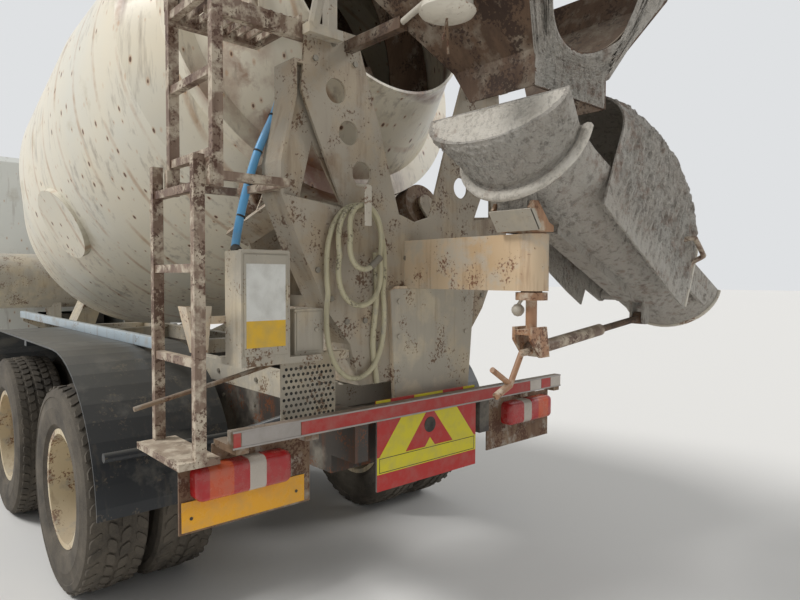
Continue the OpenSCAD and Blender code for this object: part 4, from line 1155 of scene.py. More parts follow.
@dataclass
class Wheels:
    """All road wheels: tyres with tread, wheel nuts and the bolts of the hub covers. Sizes in mm."""

    nuts: int = 10
    front_ring: float = 138.0
    twin_ring: float = 149.0
    nut_radius: float = 15.0
    twin_pitch: float = 340.0
    rim_radius: float = 298.0
    bead_below: float = 5.0
    washer: float = 26.0
    cap: Pair = (0.62, 12.0)
    cover_bolts: int = 8
    cover_bolt: float = 9.0
    front_disc: Three = (137.0, 88.0, 160.0)
    twin_disc: Three = (-160.0, 86.0, -30.0)

    def build(self) -> None:
        """Makes the tyres and nuts of every wheel."""
        for axle, tread in (("front", Tread.RIB), ("mid", Tread.BLOCK), ("rear", Tread.LUG)):
            for side in ("left", "right"):
                self._corner(axle, side, tread)

    def _corner(self, axle: str, side: str, tread: Tread) -> None:
        """Makes one corner's tyre, or twin tyres, and its nuts.

        Args:
            axle: Name of the axle.
            side: "left" or "right".
            tread: Pattern of its tyres.
        """
        single = axle == "front"
        node = f"tyre_{axle}_{side}" if single else f"tyres_{axle}_{side}"
        body = f"wheel_{axle}_{side}" if single else f"wheels_{axle}_{side}"
        low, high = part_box(node)
        radius = (high.z - low.z) / 2
        sign = 1 if side == "left" else -1
        pitch = self.twin_pitch * MM
        width = high.y - low.y if single else (high.y - low.y - pitch)
        outer = high.y - width / 2 if sign > 0 else low.y + width / 2
        centres = [outer] if single else [outer, outer - sign * pitch]
        shape = Shape()
        middle_x, middle_z = (low.x + high.x) / 2, (low.z + high.z) / 2
        for y in centres:
            tyre = Tyre(radius, width / 2, (self.rim_radius - self.bead_below) * MM, tread)
            tyre.build(shape, Matrix.Translation((middle_x, y, middle_z)))
        piece = shape.piece(f"{node}_tread", body, Finish.RUBBER, 28, slot="tyre_rubber")
        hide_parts(node)
        self._nuts(axle, side, body, Vector((middle_x, outer, middle_z)), sign)

    def _nuts(self, axle: str, side: str, body: str, middle: Vector, sign: int) -> None:
        """Makes the nuts on the wheel's disc and the bolts of the hub's cover.

        Args:
            axle: Name of the axle.
            side: "left" or "right".
            body: CAD body that carries them.
            middle: Middle of the outer wheel.
            sign: 1 on the left and -1 on the right.
        """
        single = axle == "front"
        ring = self.front_ring if single else self.twin_ring
        face, cover, cover_face = self.front_disc if single else self.twin_disc
        shape = Shape()
        for count, radius, start, size, height in (
            (self.nuts, ring, face, self.nut_radius, self.washer),
            (self.nuts, ring, face + self.washer, self.nut_radius * self.cap[0], self.cap[1]),
            (self.cover_bolts, cover, cover_face - 1, self.cover_bolt, self.cover_bolt),
        ):
            for k in range(count):
                a = 2 * math.pi * (k + 0.5) / count
                foot = middle + Vector((radius * math.cos(a), sign * start, radius * math.sin(a))) * MM
                shape.tube([foot, foot + Vector((0, sign * height * MM, 0))], size * MM, 6)
        shape.piece(f"wheel_nuts_{axle}_{side}", body, Finish.RUSTY, slot="bare_steel")


@dataclass
class RearBar:
    """Underrun bar with its tapes, the chevron board, number plate and lamps. Sizes in mm."""

    bar_back: float = -1440.0
    bar_z: Pair = (981.0, 1046.0)
    bar_half: float = 1003.0
    bar_edge: float = 7.0
    bare_end: Pair = (722.0, 968.0)
    red_tape: tuple[Pair, ...] = ((-719, 719), (-905, -822), (972, 1000))
    white_tape: tuple[Pair, ...] = ((-819, -722), (-1000, -908))
    tape_thickness: float = 1.6
    board_face: float = -1408.0
    board_half: float = 318.0
    board_z: Pair = (665.0, 1059.0)
    upper_face: float = -1399.4
    strip: Pair = (739.0, 813.0)
    strip_inset: float = 12.0
    strip_line: float = 3.0
    chevron: Pair = (153.0, 305.0)
    slope: float = 1.26
    tip: Pair = (32.0, 40.0)
    upper_yellow: Pair = (92.0, 235.0)
    hole_z: float = 912.0
    hole_radius: float = 36.0
    plate_face: float = -1274.0
    plate_y: Pair = (600.5, 1120.5)
    plate_z: Pair = (664.5, 775.5)
    screws: tuple[Pair, ...] = ((640.0, 712.0), (1085.0, 712.0))
    lamp_x: Pair = (-1337.0, -1270.0)
    lamp_z: Pair = (777.0, 903.0)
    lamp_round: float = 24.0
    lamp_end: float = 30.0
    lamp_cuts: tuple[float, ...] = (1086.0, 1040.0, 945.0, 880.0, 810.0, 689.0)
    headlamp_y: Pair = (706.0, 1034.0)
    headlamp_z: Pair = (606.0, 784.0)
    bulbs: tuple[Pair, ...] = ((790.0, 695.0), (950.0, 695.0))

    def build(self) -> None:
        """Makes every sheet, tape and lens of the rear end, and the headlamps."""
        self._tapes()
        self._board()
        self._plate()
        for name, side in SIDES:
            self._rear_lamp(name, side)
            self._headlamp(name, side)

    def _tapes(self) -> None:
        """Red and white tapes on the bar's rear face; it is bare aluminium at its left end."""
        back, edge = self.bar_back, self.bar_edge
        low, high = self.bar_z
        channel = Shape()
        for z in (low, high - edge):
            channel.span((back - 3, -self.bar_half, z), (back + 1, self.bar_half, z + edge))
        channel.span((back - 0.8, self.bare_end[0], low), (back + 1, self.bare_end[1], high))
        channel.piece("bar_edges", "truck", Finish.BAR_SILVER, bevel_mm=0.8, slot="bare_steel")
        for name, finish, spans in (
            ("bar_tape_red", Finish.BAR_RED, self.red_tape),
            ("bar_tape_white", Finish.BAR_WHITE, self.white_tape),
        ):
            tape = Shape()
            for y0, y1 in spans:
                tape.span((back - self.tape_thickness, y0, low + edge), (back + 0.5, y1, high - edge))
            tape.piece(name, "truck", finish, slot="board_sheet")

    def _board(self) -> None:
        """Chevron board: red ground, yellow chevrons, a plain yellow strip and a round hole, drawn as a black disc
        of painted shade.
        """
        face, half, upper = self.board_face, self.board_half, self.upper_face
        low, high = self.strip
        bar_low, bar_high = self.bar_z
        board_low, board_high = self.board_z
        top = bar_low - 3
        ground = Shape()
        ground.span((face - 0.8, -half, board_low), (face + 0.2, half, top))
        ground.span((upper, -half, bar_low - 4), (upper + 5.4, half, board_high))
        ground.piece("chevron_board", "truck", Finish.BOARD_RED, slot="board_sheet")
        yellow = Shape()
        sheet = (face - self.tape_thickness, face - 0.5)
        yellow.span((sheet[0], -half, low), (sheet[1], half, high))
        inner, outer = self.chevron
        rise = (top - high) / self.slope
        for _, side in SIDES[::-1]:
            arm = [(outer, high), (inner, high), (inner - rise, top), (outer - rise, top)]
            yellow.plate_yz([(side * y, z) for y, z in arm], *sheet)
        tip_half, tip_high = self.tip
        yellow.plate_yz([(-tip_half, high), (tip_half, high), (0, high + tip_high)], *sheet)
        middle, outside = self.upper_yellow
        for y0, y1 in ((-middle, middle), (-outside, -half), (outside, half)):
            yellow.span((upper - 0.6, y0, bar_high + 1), (upper + 0.4, y1, board_high))
        yellow.piece("chevrons", "truck", Finish.BOARD_YELLOW, slot="board_sheet")
        dark = Shape()
        # Painted shade: the round hole is a black disc on the board's face, not an opening.
        dark.disc((face - 2, 0, self.hole_z), ALONG, self.hole_radius, 1.2, 28)
        line, inset = self.strip_line, self.strip_inset
        for z in (low + 5, high - 5 - line):
            dark.span((face - 2, -half + inset, z), (face - 1.4, half - inset, z + line))
        for y in (-half + inset, half - inset - line):
            dark.span((face - 2, y, low + 5), (face - 1.4, y + line, high - 5))
        dark.piece("board_hole_shade_and_lines", "truck", Finish.BLACK, slot="hose_rubber")

    def _plate(self) -> None:
        """Blank number plate with its two screws."""
        face = self.plate_face
        plate = Shape()
        (y0, y1), (z0, z1) = self.plate_y, self.plate_z
        plate.span((face - 3, y0, z0), (face + 0.5, y1, z1))
        plate.piece("number_plate", "truck", Finish.PLATE_YELLOW, bevel_mm=1.5, slot="board_sheet")
        screws = Shape()
        for y, z in self.screws:
            screws.disc((face - 4.5, y, z), ALONG, 7, 3)
        screws.piece("plate_screws", "truck", Finish.BLACK, slot="hose_rubber")

    def _lens_ring(self, y: float, side: int) -> list[Vector]:
        """Outline of a rear lamp, drawn in towards its rounded ends.

        Args:
            y: Distance from the middle of the truck.
            side: 1 on the left and -1 on the right.

        Returns:
            The outline's points in the row frame.
        """
        end, corner = self.lamp_end, self.lamp_round
        near = max(0.0, min(y - self.lamp_cuts[-1], self.lamp_cuts[0] - y) / end)
        pull = end * (1 - math.sqrt(1 - (1 - near) ** 2)) if near < 1 else 0.0
        back, front = self.lamp_x[0] + pull, self.lamp_x[1]
        low, high = self.lamp_z[0] + pull, self.lamp_z[1] - pull
        radius = corner * (1 - pull / end) + 2
        ring = [(front, low)]
        for z0, start in ((low + radius, 270), (high - radius, 180)):
            for k in range(6):
                a = math.radians(start - 18 * k)
                ring.append((back + radius + radius * math.cos(a), z0 + radius * math.sin(a)))
        return [at(x, side * y, z) for x, z in [*ring, (front, high)]]

    def _rear_lamp(self, name: str, side: int) -> None:
        """One rear lamp cluster: a rounded body in five lens segments.

        Args:
            name: Side of the truck.
            side: 1 on the left and -1 on the right.
        """
        kinds = (Finish.LENS, Finish.LENS_AMBER, Finish.LENS, Finish.LENS_CLEAR, Finish.LENS)
        turns = [self.lamp_end * t for t in (0.0, 0.02, 0.08, 0.18, 0.32, 0.5, 0.75, 1.0)]
        for index, finish in enumerate(kinds):
            outer, inner = self.lamp_cuts[index], self.lamp_cuts[index + 1]
            first = [outer - t for t in turns] if index == 0 else [outer]
            ends_here = index == len(kinds) - 1
            last = [inner + t for t in reversed(turns)] if ends_here else [inner]
            lens = Shape()
            lens.rings([self._lens_ring(y, side) for y in [*first, *last]])
            piece = lens.piece(f"rear_lens_{name}_{index}", "truck", finish, 50, slot="lamp_plastic")
            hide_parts("lamps")

    def _headlamp(self, name: str, side: int) -> None:
        """One headlamp: two bowls on a plate behind one glass.

        Args:
            name: Side of the truck.
            side: 1 on the left and -1 on the right.
        """
        front = (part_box("front_bumper")[1].x - REAR_AXLE_X) / MM
        rim = [(20, 0), (44, 3), (62, 9), (72, 18), (76, 18), (76, 0)]
        (y0, y1), (z0, z1) = self.headlamp_y, self.headlamp_z
        bowl = Shape()
        bowl.span((front - 29, side * y0, z0), (front - 25, side * y1, z1))
        for y, z in self.bulbs:
            place = Matrix.Translation(at(front - 24, side * y, z)) @ Matrix.Rotation(math.pi / 2, 4, "Y")
            bowl.lathe([(r * MM, out * MM) for r, out in rim], 36, True, place)
            bowl.disc((front - 25, side * y, z), ALONG, 16, 14, 20)
        reflector = bowl.piece(
            f"headlamp_reflector_{name}", "truck", Finish.BAR_SILVER, 50, slot="lamp_plastic"
        )
        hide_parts("lamps")
        glass = Shape()
        glass.span((front - 6, side * y0, z0), (front - 3, side * y1, z1))
        glass.piece(f"headlamp_glass_{name}", "truck", Finish.GLASS, 50, bevel_mm=1.0, slot="window_glass")


@dataclass
class Controls:
    """Control box with its blank sign, the small tap box, the drilled plate and the pipes. Sizes in mm."""

    box_back: float = -1330.0
    door_y: Pair = (712.0, 900.0)
    door_z: Pair = (1290.0, 1676.0)
    hood_z: Pair = (1680.0, 1694.0)
    sign_y: Pair = (724.0, 892.0)
    sign_z: Three = (1322.0, 1424.0, 1640.0)
    hinge: Four = (716.0, 722.0, 1500.0, 1560.0)
    lid_x: float = -1304.0
    lid_y: Pair = (528.0, 652.0)
    lid_z: Pair = (1290.0, 1450.0)
    drilled_face: float = -1262.8
    drilled_from: Pair = (446.0, 1014.0)
    drilled_step: Pair = (23.0, 25.0)
    drilled_count: tuple[int, int] = (11, 9)
    drilled_edge: float = 692.0
    hole_radius: float = 7.0
    panel_x: Pair = (-1323.0, -1319.0)
    panel: tuple[Pair, ...] = (
        (-353, 1027), (138, 1027), (168, 1530), (138, 1538), (-148, 1538), (-398, 1530)
    )
    panel_bolts: tuple[tuple[float, ...], tuple[float, ...]] = ((-330, 120), (1120, 1320, 1480))
    strap: Three = (-1403.0, 365.0, 1972.0)
    pocket_top: Four = (-1196, -1120, 962, 1064)
    pocket_foot: Four = (-1180, -1134, 972, 1024)
    pocket_z: Pair = (1300.0, 1478.0)
    pocket_wall: float = 4.0
    stay: tuple[Point, ...] = ((-1215, 1262, 1126), (-1215, 905, 1196), (-1215, 620, 1256))
    air_pipe: tuple[Point, ...] = (
        (-1142, 590, 2480), (-1142, 648, 2290), (-1142, 735, 2100), (-1140, 788, 1930),
        (-1140, 822, 1790), (-1150, 842, 1702),
    )
    air_radius: float = 17.0
    air_ties: tuple[Pair, ...] = ((665, 2256), (735, 2100), (778, 1960), (812, 1830))
    drain: tuple[Point, ...] = (
        (-1312, 250, 1700), (-1312, 244, 1500), (-1310, 262, 1300), (-1312, 240, 1120)
    )
    drain_radius: float = 13.0

    def build(self) -> None:
        """Makes the details around the control box."""
        self._box()
        self._holes()
        self._panel()
        self._pipes()
        self._strap()
        self._pocket()
        self._stay()

    def _box(self) -> None:
        """The box's door and hood, its blank sign in two colours, and the tap box's lid."""
        back = self.box_back
        door = Shape()
        door.span((back - 6, self.door_y[0], self.door_z[0]), (back + 1, self.door_y[1], self.door_z[1]))
        door.span(
            (back - 3, self.door_y[0] - 8, self.hood_z[0]), (back + 30, self.door_y[1] + 6, self.hood_z[1])
        )
        door.piece("control_box_door", "truck", Finish.MIXER, bevel_mm=3.0, slot="mixer_paint")
        low, middle, high = self.sign_z
        for name, finish, z0, z1 in (
            ("sign_white", Finish.SIGN_WHITE, middle, high),
            ("sign_yellow", Finish.SIGN_YELLOW, low, middle),
        ):
            sign = Shape()
            sign.span((back - 7, self.sign_y[0], z0), (back - 5.5, self.sign_y[1], z1))
            sign.piece(name, "truck", finish, slot="board_sheet")
        lid = Shape()
        lid.span((self.lid_x, self.lid_y[0], self.lid_z[0]), (self.lid_x + 5, self.lid_y[1], self.lid_z[1]))
        lid.disc((self.lid_x - 8, self.lid_y[0] + 32, self.lid_z[0] + 85), ALONG, 9, 10, 12)
        y0, y1, z0, z1 = self.hinge
        lid.span((back - 14, y0, z0), (back - 5, y1, z1))
        lid.piece("tap_box_lid", "truck", Finish.MIXER, bevel_mm=2.0, slot="mixer_paint")

    def _holes(self) -> None:
        """Staggered holes of the drilled plate, as dark discs of painted shade on its face."""
        dots = Shape()
        (y0, z0), (step_y, step_z) = self.drilled_from, self.drilled_step
        for i in range(self.drilled_count[0]):
            for k in range(self.drilled_count[1]):
                y, z = y0 + step_y * (i + 0.5 * (k % 2)), z0 + step_z * k
                if y < self.drilled_edge:
                    # Painted shade: each hole is a dark disc, not an opening.
                    dots.disc((self.drilled_face, y, z), ALONG, self.hole_radius, 1.2, 10)
        dots.piece("drilled_plate_hole_shades", "truck", Finish.BLACK, slot="hose_rubber")

    def _panel(self) -> None:
        """Bolted panel on the pedestal's column."""
        panel = Shape()
        panel.plate_yz(self.panel, *self.panel_x)
        for z in self.panel_bolts[1]:
            for y in self.panel_bolts[0]:
                panel.disc((self.panel_x[0] - 8, y, z), ALONG, 12, 9)
        panel.piece("column_panel", "truck", Finish.MIXER, slot="mixer_paint")

    def _strap(self) -> None:
        """Strap in front of the hose."""
        x, y, z = self.strap
        strap = Shape()
        strap.span((x - 3, y - 18, z - 166), (x + 3, y + 18, z))
        strap.rod((x, y, z), (self.box_back, y, z + 14), 7, 10)
        strap.span((x - 5, y - 13, z - 10), (x + 5, y + 13, z + 4))
        strap.piece("hose_strap", "truck", Finish.BRIGHT_WORN_AND_SUNLIT, bevel_mm=2.0, slot="mixer_paint")

    def _stay(self) -> None:
        """Loose stay over the wing."""
        stay = Shape()
        for start, end in zip(self.stay, self.stay[1:]):
            stay.rod(start, end, 9, 10)
        stay.piece("loose_stay", "truck", Finish.RUSTY, slot="bare_steel")

    def _pocket(self) -> None:
        """Open pocket for a wheel wedge, behind the ladder."""

        def ring(sides: Four, inset: float, z: float) -> list[Vector]:
            """Corners of a level rectangle, drawn in by an inset."""
            x0, x1, y0, y1 = sides[0] + inset, sides[1] - inset, sides[2] + inset, sides[3] - inset
            return [at(x0, y0, z), at(x0, y1, z), at(x1, y1, z), at(x1, y0, z)]

        low, high = self.pocket_z
        pocket = Shape()
        pocket.rings([
            ring(self.pocket_foot, 0, low), ring(self.pocket_top, 0, high),
            ring(self.pocket_top, self.pocket_wall, high), ring(self.pocket_foot, 0, low + 30),
        ])
        pocket.span((-1200, 908, 1410), (-1190, 966, 1440))
        pocket.piece("wedge_pocket", "truck", Finish.ARM, slot="mixer_paint")

    def _pipes(self) -> None:
        """Blue air pipe along the pedestal, its ties and the drain pipe behind the hose."""
        pipe = Shape()
        pipe.tube(smooth_path([at(*p) for p in self.air_pipe], 8), self.air_radius * MM, 14)
        pipe.piece("air_pipe", "truck", Finish.BLUE, slot="hose_rubber")
        ties = Shape()
        for y, z in self.air_ties:
            ties.disc((self.air_pipe[0][0], y, z), (0, -0.38, 0.92), self.air_radius + 2, 7, 16)
        foot = self.air_pipe[-1]
        ties.rod((foot[0], foot[1], foot[2] + 4), (foot[0] - 30, foot[1], foot[2] - 14), 20, 12)
        ties.piece("pipe_ties", "truck", Finish.BLACK, slot="hose_rubber")
        drain = Shape()
        drain.tube(smooth_path([at(*p) for p in self.drain], 8), self.drain_radius * MM, 12)
        drain.piece("water_pipe", "truck", Finish.HOSE, slot="hose_rubber")


def arc(steps: int) -> list[float]:
    """Angles of a half circle, in radians, in even steps."""
    return [math.pi * i / steps for i in range(steps + 1)]


def smooth_path(points: Sequence[Vector], steps: int) -> list[Vector]:
    """Rounds a path of straight pieces into a smooth curve through its points.

    Args:
        points: Corners of the path.
        steps: New points between two corners.

    Returns:
        The points of the curve.
    """
    line = [points[0] * 2 - points[1], *points, points[-1] * 2 - points[-2]]
    out = []
    for i in range(1, len(line) - 2):
        a, b, c, d = line[i - 1 : i + 3]
        for k in range(steps):
            t = k / steps
            square, cube = 2 * a - 5 * b + 4 * c - d, 3 * b - a - 3 * c + d
            out.append(0.5 * (2 * b + (c - a) * t + square * t**2 + cube * t**3))
    return out + [points[-1]]


@dataclass
class WashHose:
    """Water hose hung on its hook in three loops. Sizes in mm."""

    diameter: float = 23.0
    middle_y: float = 365.0
    top: float = 1896.0
    loops: tuple[Pair, ...] = ((174.0, 1154.0), (128.0, 1470.0), (84.0, 1625.0))
    first_x: float = -1326.0
    step_x: float = -26.0
    points_per_loop: int = 56
    last_share: float = 0.62
    lean_from: float = 0.7
    nozzle_radius: float = 15.0
    nozzle: Pair = (-20.0, 50.0)

    def path(self) -> list[Vector]:
        """Centre line of the hose, from its tap to its free end.

        Returns:
            Points of the loops, each loop a step further out than the one before.
        """
        out = []
        for index, (half, low) in enumerate(self.loops):
            x0 = self.first_x + index * self.step_x
            nxt = self.loops[index + 1] if index + 1 < len(self.loops) else (half * 0.9, low + 60)
            last = index == len(self.loops) - 1
            count = self.points_per_loop if not last else int(self.points_per_loop * self.last_share)
            for k in range(count):
                t = k / self.points_per_loop
                angle = 2 * math.pi * t
                wide = half + (nxt[0] - half) * max(0.0, t - 0.5) * 2 * 0.15
                height = self.top - low
                down = (1 - math.cos(angle)) / 2
                lobe = math.sin(angle) * (1.0 + 0.35 * abs(math.cos(angle)))
                lean = max(0.0, (t - self.lean_from) / (1 - self.lean_from)) ** 2
                x = x0 + self.step_x * lean * (0 if last else 1)
                out.append(at(x, self.middle_y + wide * lobe * 0.86, self.top - height * down))
        return out

    def build(self) -> None:
        line = smooth_path(self.path(), 2)
        shape = Shape()
        shape.tube(line, self.diameter / 2 * MM, 14)
        hose = shape.piece("wash_hose", "truck", Finish.HOSE, 60, slot="hose_rubber")
        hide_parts("hose_hank")
        tip = Shape()
        ahead = (line[-1] - line[-4]).normalized()
        tip.tube([line[-1] + ahead * far * MM for far in self.nozzle], self.nozzle_radius * MM, 12)
        nozzle = tip.piece("hose_nozzle", "truck", Finish.ZINC, slot="bare_steel")


@dataclass
class ChuteDetails:
    """Handle, clamp knob, crank, work lamp and the rims of the chutes. Sizes in mm."""

    post_x: float = -1970.0
    knob: Point = (-1905.0, 0.0, 1462.0)
    knob_radius: float = 26.0
    crank: tuple[tuple[Point, Point, float], ...] = (
        ((-1970, -30, 1306), (-1970, 60, 1300), 13.0),
        ((-1970, 60, 1300), (-1970, 128, 1186), 12.0),
        ((-1970, 128, 1186), (-1970, 235, 1252), 11.0),
        ((-1970, 128, 1186), (-1970, 214, 1150), 14.0),
    )
    spout_end: float = 1394.0
    spout: Pair = (246.0, 200.0)
    collar: tuple[Three, ...] = ((8, 264, 218), (15, 284, 238), (9, 298, 254))
    collar_top: float = 20.0
    hood_end: float = 1036.0
    hood: Four = (264.0, 200.0, 30.0, -235.0)
    edge: tuple[Pair, Pair] = ((80.0, 1768.0), (0.5906, 0.8071))
    cover_half: float = 98.0
    sheet: float = 5.5
    handle: tuple[Point, ...] = ((870, -262, 10), (890, -312, 30), (1010, -312, 0), (1000, -262, -40))
    handle_radius: float = 11.0
    handle_foot: float = 22.0
    lamp: Point = (-2000.0, 515.0, 2435.0)

    def build(self) -> None:
        """Makes the details on the swivel, the strut and the chutes."""
        self._knob()
        self._crank()
        self._rims()
        self._cover()
        self._handle()
        self._lamp()

    def _knob(self) -> None:
        """Round knob of the clamp that locks the post."""
        x, y, z = self.knob
        r = self.knob_radius
        knob = Shape()
        ball = [(0, -r), (14, 4 - r), (24, 16 - r), (r, 0), (24, r - 16), (14, r - 4), (0, r)]
        knob.lathe([(a * MM, b * MM) for a, b in ball], 20, False, Matrix.Translation(at(x, y, z)))
        knob.rod((x, y, z + 20), (x - 25, y, z + 50), 7, 10)
        knob.piece("clamp_knob", "swivel", Finish.BRIGHT_WORN_AND_SUNLIT, 60, slot="bare_steel")

    def _crank(self) -> None:
        """Hand crank that turns the strut's screw."""
        crank = Shape()
        for start, end, radius in self.crank:
            crank.rod(start, end, radius, 12)
        crank.piece("strut_crank", "barrel", Finish.POST, slot="bare_steel")

    def _rims(self) -> None:
        """Lips worn bare at the ends of the chutes, painted bright as sunlit rims, and the crusted rim of the main
        chute's collar, painted pale as sunlit.
        """
        place = ChuteFrame().point
        lip = Shape()
        half, depth = self.spout
        line = [place(self.spout_end, half * math.cos(a), -depth * math.sin(a)) for a in arc(24)]
        lip.tube(line, 9 * MM, 10)
        turn = [(math.cos(a), math.sin(a)) for a in arc(32)]
        rings = []
        for x, y in [(1.0, None), *turn, (-1.0, None)]:
            section = [(off, wide * x, self.collar_top if y is None else -deep * y)
                       for off, wide, deep in self.collar]
            rings.append([place(-off, across, high) for off, across, high in section]
                         + [place(off, across, high) for off, across, high in reversed(section)])
        collar = Shape()
        collar.rings(rings)
        # Painted sunlight: the collar's rim gets the pale, sunlit copy of the crust.
        collar.piece("collar_rim", "chute", Finish.CRUST_PALE_SUNLIT, 70, slot="chute_steel")
        # Painted highlight: the lips' pale steel also stands for sunlight on the rims.
        lip.piece("chute_lips", "chute", Finish.BRIGHT_WORN_AND_SUNLIT, 50, slot="chute_steel")
        hood = Shape()
        half, arch, start, low = self.hood
        bow = [place(self.hood_end, half * math.cos(a), start + arch * math.sin(a)) for a in arc(24)]
        hood.tube([place(self.hood_end, half, low), *bow, place(self.hood_end, -half, low)], 7 * MM, 10)
        # Painted highlight: the hood's lip is pale as a sunlit rim.
        hood.piece("hood_lip", "flap_chute", Finish.BRIGHT_WORN_AND_SUNLIT, 50, slot="chute_steel")

    def _cover(self) -> None:
        """Folded cover between the arms of the chute's bracket."""
        (y0, z0), (dy, dz) = self.edge

        def spot(far: float, off: float) -> Pair:
            """A place in (y, z) from how far up the bracket's edge it is and how far off it."""
            return y0 + far * dy + off * dz, z0 + far * dz - off * dy

        back, front = self.post_x - self.cover_half, self.post_x + self.cover_half
        cover = Shape()
        cover.plate_yz([spot(8, 5), spot(100, 5), spot(100, 11), spot(8, 11)], back, front)
        flange = [spot(8, -12), spot(88, -12), spot(99, 10.4), spot(8.5, 10.4)]
        for x in (back, front - self.sheet):
            cover.plate_yz(flange, x, x + self.sheet)
        cover.piece("bracket_cover", "swivel", Finish.MIXER, slot="mixer_paint")

    def _handle(self) -> None:
        """Grab handle on the rear side of the folded chute."""
        place = ChuteFrame().point
        a, b, c, d = (place(*corner) for corner in self.handle)
        bar = Shape()
        line = [a, a.lerp(b, 0.9), b.lerp(c, 0.1), b.lerp(c, 0.9), d.lerp(c, 0.9), d]
        bar.tube(smooth_path(line, 5), self.handle_radius * MM, 12)
        for foot in (a, d):
            bar.tube([foot + Vector((0.004, 0, 0)), foot - Vector((0.006, 0, 0))], self.handle_foot * MM, 12)
        bar.piece("chute_handle", "flap_chute", Finish.LADDER, 50, slot="bare_steel")

    def _lamp(self) -> None:
        """Work lamp on its arm beside the funnel, with two bare prongs under it."""
        x, y, z = self.lamp
        lamp = Shape()
        profile = [(0, 0), (60, 4), (88, 16), (95, 26), (92, 32), (86, 40), (82, 96), (60, 104), (0, 106)]
        lamp.lathe([(r * MM, up * MM) for r, up in profile], 32, False, Matrix.Translation(at(x, y, z)))
        lamp.rod((x, y, z + 95), (x, y - 15, z + 135), 12)
        lamp.rod((x, y - 15, z + 131), (x + 355, y - 120, z + 131), 12)
        lamp.piece("work_lamp", "truck", Finish.BRIGHT_WORN_AND_SUNLIT, 40, slot="mixer_paint")
        prongs = Shape()
        prongs.rod((x - 6, y + 7, z + 3), (x - 4, y + 25, z - 73), 4, 8)
        prongs.rod((x + 6, y - 5, z + 3), (x + 8, y - 13, z - 105), 4, 8)
        prongs.piece("lamp_prongs", "truck", Finish.RUSTY, slot="bare_steel")


@dataclass(frozen=True)
class ChuteFrame:
    """Places along the main chute, in mm: along it, across it and square to it."""

    x: float = -1960.0
    y: float = 60.0
    z: float = 2110.0
    tilt: float = math.radians(24.5)

    def point(self, along: float, across: float, height: float) -> Vector:
        """Turns a place in the chute's own frame into the row frame.

        Args:
            along: Way down the chute.
            across: Way across it, forwards.
            height: Way square to its floor.

        Returns:
            The place in metres.
        """
        c, s = math.cos(self.tilt), math.sin(self.tilt)
        return at(self.x + across, self.y - along * c - height * s, self.z - along * s + height * c)


